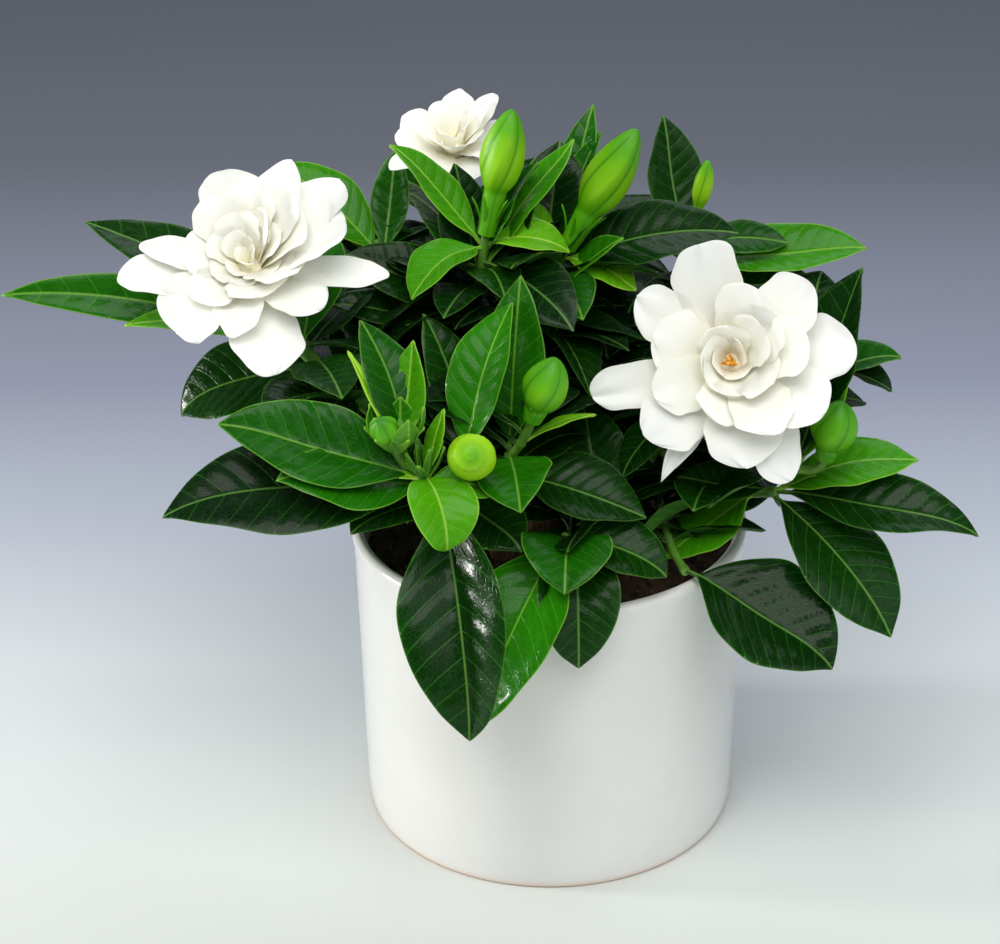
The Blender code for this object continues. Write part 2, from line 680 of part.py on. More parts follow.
def make_potting_mix():
    """The plug of potting mix, slightly crowned, with a plain hole for each woody stem."""
    low, edge = FLOOR_THICKNESS + GAP, SOIL_EDGE
    profile = [
        (0, SOIL_CROWN), (30, SOIL_CROWN - 0.7), (inner_radius(edge) - GAP, edge),
        (inner_radius(low + 5) - GAP - 0.3, low + 5), (inner_radius(low) - 5, low), (0, low),
    ]
    mix = turned_piece("potting_mix", profile, material("potting_mix", "#33261c", 0.95),
                       POT_STEPS // 2)
    for name, (place, knuckle) in WOODY_STEMS.items():
        depth = ROOT_DEPTH + GAP
        bpy.ops.mesh.primitive_cylinder_add(
            vertices=12, radius=(WOOD_RADIUS + 2 * GAP) * MM, depth=2 * depth * MM,
            location=(place[0] * MM, place[1] * MM, SOIL_CROWN * MM))
        cutter = bpy.context.object
        cutter.name = "hole_" + name
        cutter.hide_render = True
        cutter.display_type = "WIRE"
        for home in list(cutter.users_collection):
            home.objects.unlink(cutter)
        collection("cutters").objects.link(cutter)
        hole = mix.modifiers.new("hole_" + name, "BOOLEAN")
        hole.operation = "DIFFERENCE"
        hole.object = cutter
        hole.solver = "EXACT"
    return mix


def make_woody_stem(name, finish):
    """A brown stem from its hole in the mix up to the knuckle where the shoots part."""
    place, knuckle = WOODY_STEMS[name]
    foot = np.array([*place, SOIL_CROWN - ROOT_DEPTH])
    surface = np.array([*place, SOIL_CROWN + 2.0])
    top = np.array(knuckle, float)
    rise = unit(top - surface)
    points = [foot, surface, (surface + top) / 2 + [0, 0, 1.5], top - rise * 6, top - rise * 2,
              top + rise * 2, top + rise * 4.4]
    radii = (WOOD_RADIUS, WOOD_RADIUS, WOOD_RADIUS * 0.85, 3.6, 4.8, 4.8, 2.2)
    return fused("woody_stem_" + name, [tube("stem", points, radii, 8)], finish)


def main():
    """Build every node of the potted gardenia."""
    for old in list(bpy.data.objects):
        bpy.data.objects.remove(old)
    make_pot()
    make_potting_mix()
    bark = material("woody_bark", "#6b5238", 0.85)
    foliage = material("gardenia_leaf", "#1d5a1c", 0.30)
    bud_green = material("gardenia_bud", "#8fcf24", 0.40, 0.1)
    petal_white = material("gardenia_petal", "#fbf8ef", 0.45, 0.2)
    pollen = material("stamen_gold", "#e0a02c", 0.60)
    for name in WOODY_STEMS:
        make_woody_stem(name, bark)
    for name in SHOOTS:
        make_shoot(name, foliage)
    for name in BUDS:
        make_bud(name, bud_green)
    for name in BLOOMS:
        make_bloom(name, petal_white)
    make_stamens("bloom_right", pollen)


if __name__ == "__main__":
    main()
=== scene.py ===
# %% [markdown]
# # A potted gardenia
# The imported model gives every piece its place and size. This lesson dresses it: each solid is
# replaced by a finer surface that keeps its tables of places, and gets a finish of its own.
# A surface here is a function of two numbers, worked out with numpy as one array of points.
# The tables give lengths in millimetres and angles in degrees.

# %% Load the frame
import math

import bpy
import numpy as np
from mathutils import Matrix, Vector


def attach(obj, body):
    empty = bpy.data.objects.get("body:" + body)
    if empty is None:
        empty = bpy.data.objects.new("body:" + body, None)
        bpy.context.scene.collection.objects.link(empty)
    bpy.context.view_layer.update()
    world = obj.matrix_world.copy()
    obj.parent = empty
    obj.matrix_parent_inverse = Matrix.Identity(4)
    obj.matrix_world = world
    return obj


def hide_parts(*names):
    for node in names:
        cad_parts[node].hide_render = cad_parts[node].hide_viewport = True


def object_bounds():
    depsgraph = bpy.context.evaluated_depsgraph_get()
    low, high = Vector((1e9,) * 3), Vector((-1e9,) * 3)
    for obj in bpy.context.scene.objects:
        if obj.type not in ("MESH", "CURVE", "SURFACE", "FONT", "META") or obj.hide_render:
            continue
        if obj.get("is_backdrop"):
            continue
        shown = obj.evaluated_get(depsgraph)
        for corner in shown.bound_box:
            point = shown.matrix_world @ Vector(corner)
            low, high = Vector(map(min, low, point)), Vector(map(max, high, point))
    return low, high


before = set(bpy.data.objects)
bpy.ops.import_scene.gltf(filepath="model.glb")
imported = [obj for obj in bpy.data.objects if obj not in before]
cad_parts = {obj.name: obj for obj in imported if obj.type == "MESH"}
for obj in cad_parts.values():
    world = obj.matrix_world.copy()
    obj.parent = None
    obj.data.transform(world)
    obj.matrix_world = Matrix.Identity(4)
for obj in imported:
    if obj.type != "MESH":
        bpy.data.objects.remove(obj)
cad_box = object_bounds()
MM = 0.001
print("solids:", len(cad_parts), "box:", [round(v, 3) for corner in cad_box for v in corner])

# %% [markdown]
# ## Colours and nodes
# A finish is a small network of nodes that ends in the Principled shader. It can be wired by hand
# in the Shader Editor. Here one small function adds a node and wires it, so a finish reads as a
# list of steps and is easy to change. Colours are sRGB hex values, as on a paint card.

# %% Colours and nodes
# Settings that recur: a smooth step, a mix of two colours, and the sums of a Math node.
SMOOTH, COLOURS = {"interpolation_type": "SMOOTHSTEP"}, {"data_type": "RGBA"}
PLUS, MINUS, TIMES, TIMES_PLUS, UNSIGNED = (
    {"operation": name} for name in ("ADD", "SUBTRACT", "MULTIPLY", "MULTIPLY_ADD", "ABSOLUTE"))


def linear(hex_colour):
    """Scene-linear RGBA of an sRGB hex colour: straight near black, a power of 2.4 above that."""
    channels = [int(hex_colour[k:k + 2], 16) / 255 for k in (1, 3, 5)]
    return [c / 12.92 if c <= 0.04045 else ((c + 0.055) / 1.055) ** 2.4 for c in channels] + [1.0]


def fill(node, sockets):
    """Fills a node's inputs: by name from a dict, or in the node's own order from a tuple.

    An output is linked, and so is a node, which stands for the first output that it has in use.
    """
    pairs = sockets.items() if isinstance(sockets, dict) else enumerate(sockets)
    for key, value in pairs:
        if isinstance(value, bpy.types.Node):
            value = next(out for out in value.outputs if out.enabled)
        if isinstance(value, bpy.types.NodeSocket):
            node.id_data.links.new(value, node.inputs[key])
        else:
            node.inputs[key].default_value = value


def add(tree, kind, settings=None, sockets=()):
    """Adds a node with its settings and links; `stops` are a colour ramp's (place, hex) pairs."""
    made = tree.nodes.new("ShaderNode" + kind)
    for key, value in (settings or {}).items():
        if key == "stops":
            band = made.color_ramp.elements
            while len(band) < len(value):
                band.new(0.5)
            for element, (place, colour) in zip(band, value):
                element.position = place
                element.color = linear(colour)
        else:
            setattr(made, key, value)
    fill(made, sockets)
    return made


def finish(name):
    """A new material: itself, its node tree, its Principled shader and its Object coordinates."""
    made = bpy.data.materials.new(name)
    made.use_nodes = True
    tree = made.node_tree
    return made, tree, tree.nodes["Principled BSDF"], add(tree, "TexCoord").outputs["Object"]


print("mid grey in linear light:", round(linear("#808080")[0], 3))

# %% [markdown]
# ## Camera, floor and light
# The plant stands on a sheet of pale paper that runs far back. Its colour is painted darker and
# cooler towards the back, a painted falloff of light. One long lens looks down on it by 27 degrees,
# so the paper fills the whole picture. The main light is a large soft one above and in front, which
# leaves the inside of the bush nearly black. A small low one at the left puts narrow glints on the
# leaves. Weak ones at the right and behind, and a pale world, soften the shadow. A ready-made studio
# image as a world could light it too, but separate lights can be moved one at a time.

# %% Camera
LENS, SENSOR = 93.6, 36                           # both in mm
LOOK_DOWN, ROLL = 27.1, -0.65                     # below level, and about the line of sight

camera = bpy.data.objects.new("camera", bpy.data.cameras.new("camera"))
bpy.context.scene.collection.objects.link(camera)
camera.data.sensor_width = SENSOR
camera.data.lens = LENS
camera.location = (-0.0172, -0.813, 0.547)
camera.rotation_mode = "QUATERNION"
look = Matrix.Rotation(math.radians(90 - LOOK_DOWN), 4, "X") @ Matrix.Rotation(math.radians(ROLL), 4, "Z")
camera.rotation_quaternion = look.to_quaternion()
camera.data.clip_start, camera.data.clip_end = 0.05, 50
bpy.context.scene.camera = camera
print("camera:", camera.data.lens, "mm lens,", [round(v, 3) for v in camera.location])

# %% Paper floor
PAPER_NEAR, PAPER_FAR = -0.45, 1.1                # where the tones start and end, in metres
PAPER_REACH = 6                                   # half the width of the sheet, in metres

# Matt backdrop paper, uncoated: the eye sees no gloss. Its colour is a painted falloff of light,
# pale near the plant and darker and cooler towards the back.
paper, tree, shader, at = finish("matt_paper")
depth = add(tree, "SeparateXYZ", None, (at,)).outputs["Y"]
depth = add(tree, "MapRange", None, (depth, PAPER_NEAR, PAPER_FAR))
# Painted falloff of light: the paper's colour steps from pale near the plant to a dark cool grey far back.
painted_falloff = add(tree, "ValToRGB", {"stops": [
    (0.0, "#cdd2cc"), (0.2, "#d2d7d2"), (0.27, "#d8dddb"), (0.35, "#d2d9dc"),
    (0.42, "#b5bcc8"), (0.52, "#8c91a5"), (0.72, "#636873"), (0.90, "#5e636c")]}, (depth,))
fill(shader, {"Base Color": painted_falloff, "Roughness": 0.9})
floor_mesh = bpy.data.meshes.new("floor")
corners = [(x * PAPER_REACH, y * PAPER_REACH, 0) for x, y in ((-1, -1), (1, -1), (1, 1), (-1, 1))]
floor_mesh.from_pydata(corners, [], [(0, 1, 2, 3)])
floor_mesh.materials.append(paper)
floor = bpy.data.objects.new("floor", floor_mesh)
bpy.context.scene.collection.objects.link(floor)
floor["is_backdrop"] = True
print("paper:", 2 * PAPER_REACH, "m wide")


# %% Lights
def softbox(name, place, target, size, power, colour):
    """A flat soft light at a place, turned to face a target, with its power in watts."""
    light = bpy.data.lights.new(name, "AREA")
    light.shape = "RECTANGLE"
    light.size, light.size_y = size
    light.energy = power
    light.color = linear(colour)[:3]
    made = bpy.data.objects.new(name, light)
    made.location = place
    made.rotation_mode = "QUATERNION"
    made.rotation_quaternion = (Vector(target) - Vector(place)).to_track_quat("-Z", "Y")
    bpy.context.scene.collection.objects.link(made)


BUSH = (0, 0, 0.12)                               # what the lights aim at, in metres
softbox("side", (-1.30, 0.05, 0.23), BUSH, (0.19, 0.25), 12.5, "#fffdf8")
softbox("front", (-0.16, -1.12, 1.90), BUSH, (1.90, 1.40), 40, "#fffefa")
softbox("right", (1.25, -1.05, 0.85), BUSH, (1.7, 1.4), 8.5, "#f8faff")
softbox("behind", (0.30, 0.85, 1.35), (0.05, 0.05, 0.10), (1.5, 0.8), 7.5, "#f4f7ff")
world = bpy.data.worlds.new("studio")
world.use_nodes = True
fill(world.node_tree.nodes["Background"], {"Color": linear("#dfe2ea"), "Strength": 0.22})
bpy.context.scene.world = world
bpy.context.scene.view_settings.view_transform = "Standard"
print("lights, W:", {light.name: light.energy for light in bpy.data.lights})

# %% [markdown]
# ## Surfaces from arrays
# A leaf, a petal, a bud and a stem are all the same kind of thing to a computer: a ring of points
# carried along a path, closed at both ends. So one function turns rings into faces, and another
# joins many such skins in one mesh. Curve objects with a bevel could make stems, but not leaves,
# and hundreds of small objects would be slow, so arrays make them all.


# %% Rings to faces
def round_angles(steps):
    """Angles of points that are spread evenly round a ring: number * a whole turn / steps."""
    return np.arange(steps) * 2 * np.pi / steps


def skin(rings, first, last, paint):
    """A closed skin: rings (rows, points, 3) joined row to row, with one pole at each end.

    Each ring runs anticlockwise as seen from the last row, so the faces point outwards. `paint`
    holds arrays of three values a point (rows, points, 3); a pole takes its ring's mean.
    """
    rows, around = rings.shape[:2]
    index = np.arange(rows * around).reshape(rows, around)
    after = np.roll(index, -1, axis=1)
    quads = np.stack([index[:-1], after[:-1], after[1:], index[1:]], -1).reshape(-1, 4)
    foot, tip = rows * around, rows * around + 1
    fans = np.concatenate([
        np.stack([np.full(around, foot), after[0], index[0]], -1),
        np.stack([np.full(around, tip), index[-1], after[-1]], -1)])
    points = np.concatenate([rings.reshape(-1, 3), [first, last]])
    painted = {key: np.concatenate([value.reshape(-1, 3), value[0].mean(0)[None], value[-1].mean(0)[None]])
               for key, value in paint.items()}
    return points, quads, fans, painted


# %% Skins to a piece
def piece(name, skins, material, node=None, sharp=50):
    """One object from many skins, in millimetres, riding on the root body.

    Each skin's faces are numbered on from the points before it. Edges that turn by more than
    `sharp` degrees stay sharp.
    """
    counts = np.cumsum([0] + [len(s[0]) for s in skins])
    points = np.concatenate([s[0] for s in skins]) * MM
    quads = np.concatenate([s[1] + start for s, start in zip(skins, counts)])
    fans = np.concatenate([s[2] + start for s, start in zip(skins, counts)])
    mesh = bpy.data.meshes.new(name)
    mesh.vertices.add(len(points))
    mesh.vertices.foreach_set("co", points.astype(np.float32).ravel())
    mesh.loops.add(quads.size + fans.size)
    mesh.loops.foreach_set("vertex_index", np.concatenate([quads.ravel(), fans.ravel()]).astype(np.int32))
    mesh.polygons.add(len(quads) + len(fans))
    starts = np.concatenate([np.arange(len(quads)) * 4, quads.size + np.arange(len(fans)) * 3])
    mesh.polygons.foreach_set("loop_start", starts.astype(np.int32))
    mesh.update(calc_edges=True)
    for key in skins[0][3]:
        layer = mesh.attributes.new(key, "FLOAT_VECTOR", "POINT")
        values = np.concatenate([s[3][key] for s in skins]).astype(np.float32)
        layer.data.foreach_set("vector", values.ravel())
    mesh.polygons.foreach_set("use_smooth", np.ones(len(mesh.polygons), bool))
    mesh.set_sharp_from_angle(angle=math.radians(sharp))
    mesh.validate()
    mesh.materials.append(material)
    made = bpy.data.objects.new(name, mesh)
    bpy.context.scene.collection.objects.link(made)
    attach(made, "root")
    if node:
        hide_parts(node)
    print(name, "triangles:", 2 * len(quads) + len(fans))


# %% Paths and tubes
def unit(vector):
    """The vector scaled to length one."""
    vector = np.asarray(vector, float)
    return vector / np.linalg.norm(vector)


def bend(start, control, end, up):
    """Point of a quadratic curve at `up` (0 to 1), or a row of points for an array.

    Point = (1 - up)^2 * start + 2 * up * (1 - up) * control + up^2 * end.
    """
    start, control, end = (np.asarray(p, float) for p in (start, control, end))
    up = np.asarray(up, float)[..., None]
    return (1 - up) ** 2 * start + 2 * up * (1 - up) * control + up ** 2 * end


def read_path(at, marks, path):
    """Points at new places of a path that is known at its marks, straight between them."""
    return np.stack([np.interp(at, marks, path[:, k]) for k in range(3)], 1)


def around_path(path, radii, sides, paint=None, ribs=0, rib_depth=0.0):
    """A closed tube: circles of the given radii, square to the path, with optional ribs.

    Every ring lies across the path's own direction there, on two axes that are carried on from
    ring to ring by taking out what points along the path, so the tube doesn't twist. Radius of a
    point = ring radius * (1 + rib depth * cos(ribs * angle)).
    """
    path = np.asarray(path, float)
    ways = np.gradient(path, axis=0)
    ways /= np.linalg.norm(ways, axis=1)[:, None]
    seed = np.array([0.3, 1.0, 0.2]) if abs(ways[0][1]) < 0.8 else np.array([1.0, 0.1, 0.2])
    rights = []
    for way in ways:
        seed = unit(seed - way * (seed @ way))
        rights.append(seed)
    rights = np.array(rights)
    fars = np.cross(ways, rights)
    turn = round_angles(sides)
    reach = np.asarray(radii, float)[:, None] * (1 + rib_depth * np.cos(ribs * turn))[None, :]
    rings = path[:, None] + reach[..., None] * (rights[:, None] * np.cos(turn)[None, :, None]
                                                + fars[:, None] * np.sin(turn)[None, :, None])
    marks = {} if paint is None else {"kind": np.zeros(rings.shape) + paint}
    return skin(rings, path[0], path[-1], marks)


print("middle of a bend with corners 0 0, 0 1 and 1 1:", bend((0, 0), (0, 1), (1, 1), 0.5))

# %% [markdown]
# ## Pot
# The pot is a plain cover pot of earthenware under a thick white glaze, cast or thrown: its wall
# widens a little, its lip stands out by a millimetre, and it stands on a small rounded foot, where
# the clay shows through as a warm line that also carries a painted warm reflection. The Spin tool or
# a Screw modifier can turn such a profile.
# Here an array turns it, so that each ring lies exactly where the measures put it.

# %% Glazed earthenware
# Fired clay dipped in a glassy glaze: the eye sees a white body under a clear gloss.
glaze, tree, shader, at = finish("glazed_earthenware")
mottle = add(tree, "TexNoise", None, {              # faint clouds about 45 mm across
    "Vector": at, "Scale": 22, "Detail": 4, "Roughness": 0.55})
body = add(tree, "ValToRGB", {"stops": [(0.3, "#dddddb"), (0.7, "#e4e4e1")]}, (mottle,))
height = add(tree, "SeparateXYZ", None, (at,)).outputs["Z"]
# The lowest 3.5 mm are tinted warm pink: partly bare clay, partly a painted warm reflection.
bare_foot_and_reflection = add(tree, "MapRange", SMOOTH, (height, 0.0005, 0.0035, 1, 0))     # the lowest 3.5 mm
tinted = add(tree, "Mix", COLOURS, {"Factor": bare_foot_and_reflection, "A": body, "B": linear("#e3c9b8")})
waves = add(tree, "TexNoise", None, {"Vector": at, "Scale": 55, "Detail": 2})     # swells of 18 mm
bump = add(tree, "Bump", None, {"Strength": 0.12, "Distance": 0.0006, "Height": waves})
fill(shader, {"Base Color": tinted, "Normal": bump, "Roughness": 0.22, "IOR": 1.5,
              "Coat Weight": 0.5, "Coat Roughness": 0.06})
print(glaze.name, "nodes:", len(tree.nodes))

# %% Pot and lip
RIM_RADIUS, FOOT_RADIUS, POT_HEIGHT = 70.0, 67.0, 114.0
WALL, LIP_FLARE, FLOOR_THICKNESS = 3.4, 0.9, 6.0
LIP_DEPTH, LIP_HEIGHT, FOOT_ROUND, FLOOR_ROUND = 2.2, 2.6, 2.0, 5
TAPER = RIM_RADIUS - LIP_FLARE - FOOT_RADIUS      # how much the wall widens on its way up


def inner_radius(height):
    """Inside radius of the pot wall at a height: a straight taper from the floor to the rim."""
    share = (height - FLOOR_THICKNESS) / (POT_HEIGHT - FLOOR_THICKNESS)
    return FOOT_RADIUS + TAPER * share - WALL


def arc(centre, radii, start, stop, steps):
    """Points on an ellipse between two angles: centre + radii * (cosine, sine) of the angle."""
    angle = np.radians(np.linspace(start, stop, steps))
    return np.stack([centre[0] + radii[0] * np.cos(angle), centre[1] + radii[1] * np.sin(angle)], 1)


def turned(profile, steps=256):
    """A closed skin of a profile (radius, height) turned round Z; its ends lie on the axis."""
    turn = round_angles(steps)
    body = profile[1:-1]
    rings = np.stack([body[:, :1] * np.cos(turn), body[:, :1] * np.sin(turn),
                      np.repeat(body[:, 1:], steps, 1)], -1)
    return skin(rings, (0, 0, profile[0][1]), (0, 0, profile[-1][1]), {})


# Each row is one stretch: foot, wall, swell under the lip, lip, inside wall, round of the floor.
pot_profile = np.concatenate([
    [(0, 0), (40, 0)], arc((64.3, FOOT_ROUND), (FOOT_ROUND, FOOT_ROUND), -90, -10, 7),
    [(FOOT_RADIUS + TAPER * k / 12, 5 + (POT_HEIGHT - 14) * k / 12) for k in range(12)],
    [(RIM_RADIUS - 0.75, POT_HEIGHT - 8.5), (RIM_RADIUS - 0.45, POT_HEIGHT - 6.2)],
    arc((RIM_RADIUS - LIP_DEPTH, POT_HEIGHT - LIP_HEIGHT), (LIP_DEPTH, LIP_HEIGHT), -20, 180, 22),
    [(inner_radius(height), height) for height in (POT_HEIGHT - 7, 60, 16)],
    arc((inner_radius(10) - FLOOR_ROUND, FLOOR_THICKNESS + FLOOR_ROUND), (FLOOR_ROUND, FLOOR_ROUND),
        0, -90, 8),
    [(0, FLOOR_THICKNESS)]])
piece("glazed_pot", [turned(pot_profile)], glaze, "pot")

# %% [markdown]
# ## Potting mix
# The bush grows in dark peat with bits of bark, which show only where the lowest leaves part. A
# Displace modifier and scattered copies could make it. Here the top is a disc with a noisy height,
# and some four hundred chips of bark lie on it, each a short tube of few faces.

# %% Peat and bark
# Damp peat, milled and mixed with bark: the eye sees rough dark crumbs without gloss.
peat, tree, shader, at = finish("peat_and_bark_mix")
grain = add(tree, "TexNoise", None, {               # crumbs of 2.4 mm
    "Vector": at, "Scale": 420, "Detail": 6, "Roughness": 0.7})
clods = add(tree, "TexVoronoi", None, {"Vector": at, "Scale": 190})               # clods of 5 mm
shade = add(tree, "Math", TIMES_PLUS, (clods, 0.8, grain))
browns = add(tree, "ValToRGB", {"stops": [
    (0.35, "#120b07"), (0.7, "#33241a"), (1.0, "#5a4230")]}, (shade,))
bump = add(tree, "Bump", None, {"Strength": 0.8, "Distance": 0.0015, "Height": shade})
fill(shader, {"Base Color": browns, "Normal": bump, "Roughness": 0.95})
print(peat.name, "nodes:", len(tree.nodes))

# %% Mix surface
SOIL_EDGE, SOIL_CROWN = 100.0, 103.0              # height of the mix at the wall and in the middle
SOIL_DEPTH, GAP = 8, 0.3                          # how deep the disc goes, and what it leaves to the wall
CHIPS, CHIP_SPREAD, CROWN_REACH = 420, 60, 66     # how many, how far out, the crown's own reach
WHOLE_TURN = 6.28                                 # radians; chance phases are drawn from this
random = np.random.default_rng(4)


def rough_disc(steps=120, rows=44):
    """The top of the mix: a crown that sinks to the wall, with waves of several sizes on it.

    Height = crown - (crown - edge) * (radius / widest)^2 + a sum of 14 sine waves.
    """
    reach = np.linspace(1, 0.02, rows) ** 0.8 * (inner_radius(SOIL_EDGE) - GAP)
    turn = round_angles(steps)
    x, y = reach[:, None] * np.cos(turn), reach[:, None] * np.sin(turn)
    z = SOIL_CROWN - (SOIL_CROWN - SOIL_EDGE) * (reach[:, None] / reach[0]) ** 2 + 0 * x
    for k in range(14):
        wave, phase = random.normal(0, 0.16 + 0.05 * k, 2), random.uniform(0, WHOLE_TURN)
        z += 0.45 / (1 + 0.2 * k) * np.sin(x * wave[0] + y * wave[1] + phase)
    z[0] = SOIL_EDGE
    rings = np.stack([x, y, np.minimum(z, SOIL_CROWN + 1.4)], -1)
    low = np.stack([x[0], y[0], np.full(steps, SOIL_EDGE - SOIL_DEPTH)], -1)[None]
    return skin(np.concatenate([low, rings]), (0, 0, SOIL_EDGE - SOIL_DEPTH), (0, 0, SOIL_CROWN), {})


def chip():
    """A chip of bark at a random place on the mix: a tube of four rings, slimmer at its ends."""
    far, turn = CHIP_SPREAD * math.sqrt(random.uniform(0.02, 1)), random.uniform(0, 2 * math.pi)
    level = SOIL_CROWN - (SOIL_CROWN - SOIL_EDGE) * (far / CROWN_REACH) ** 2 + random.uniform(0.0, 0.9)
    spot = np.array([far * math.cos(turn), far * math.sin(turn), level])
    way = unit(random.normal(0, 1, 3) * [1, 1, 0.35])
    long = random.uniform(1.5, 4.5)
    path = spot + way * long * np.linspace(-0.5, 0.5, 4)[:, None]
    return around_path(path, random.uniform(0.5, 1.5) * np.array([0.6, 1.0, 0.9, 0.5]), 5)


piece("potting_mix_surface", [rough_disc()] + [chip() for _ in range(CHIPS)], peat,
      "potting_mix")

# %% [markdown]
# ## Woody stems
# Old gardenia stems are grey-brown with a cracked bark, and swell where shoots part from them. A
# Skin modifier on a few edges could make them. A tube along a path gives the swellings as a short
# list of radii, and five shallow ribs stand for the ridges of the bark.

# %% Bark
# Dry fibrous bark, as it grew: the eye sees rough brown with cracks that run up the stem.
bark, tree, shader, at = finish("gardenia_bark")
stretched = add(tree, "Mapping", None, {"Vector": at, "Scale": (1, 1, 0.22)})
cracks = add(tree, "TexNoise", None, {              # cracks 1.7 mm apart, drawn out to 8 mm
    "Vector": stretched, "Scale": 600, "Detail": 5})
browns = add(tree, "ValToRGB", {"stops": [
    (0.35, "#3a2a1c"), (0.6, "#6f563b"), (0.75, "#8b7355")]}, (cracks,))
bump = add(tree, "Bump", None, {"Strength": 0.7, "Distance": 0.0006, "Height": cracks})
fill(shader, {"Base Color": browns, "Normal": bump, "Roughness": 0.85})
print(bark.name, "nodes:", len(tree.nodes))

# %% Stems in the mix
STEM_FOOT, STEM_SURFACE = 96.0, 105.0       # heights where a stem ends in the mix and leaves it
KNOT_RADII = [4.2, 4.0, 3.4, 3.6, 4.8, 4.6, 2.2]                 # from the foot to the knuckle
WOODY_STEMS = {                             # place in the mix, and the knuckle that shoots leave
    "left": ((-17, -12), (-24, -24, 136)),
    "right": ((18, -8), (26, -14, 134)),
    "middle": ((-4, 10), (-8, 14, 146)),
    "back": ((12, 20), (16, 26, 140)),
}
for name, (place, knuckle) in WOODY_STEMS.items():
    foot, surface = np.array([*place, STEM_FOOT]), np.array([*place, STEM_SURFACE])
    top = np.array(knuckle, float)
    rise = unit(top - surface)
    knots = np.array([foot, surface, (surface + top) / 2 + [0, 0, 1.5], top - rise * 6, top - rise * 2,
                      top + rise * 2, top + rise * 4.4])
    fine = np.linspace(0, 6, 40)
    thick = np.interp(fine, range(7), KNOT_RADII) * (1 + 0.06 * np.sin(fine * 7.3))
    tube = around_path(read_path(fine, range(7), knots), thick, 20, ribs=5, rib_depth=0.05)
    piece("woody_stem_bark_" + name, [tube], bark, "woody_stem_" + name)

# %% [markdown]
# ## Leaves
# A gardenia leaf is a stiff leathery blade, folded a little along its midrib, with seven to ten
# pairs of side veins that sink into it so that the blade swells between them like a quilt. Leaves
# sit in threes or pairs on the green shoots. One leaf could be modelled and copied by instances,
# but then all would be alike. So each row below gives one leaf its place and shape. The outer ones
# also have an age from 0, dark and hard, to 1, just opened, and may have a fold.

# %% Shoots
def whorl(up, bearing, rise, length, width):
    """Rows for three inner leaves at one height, spread evenly from the first bearing."""
    return [(up, bearing + 120 * k, rise, length, width, 30) for k in range(3)]


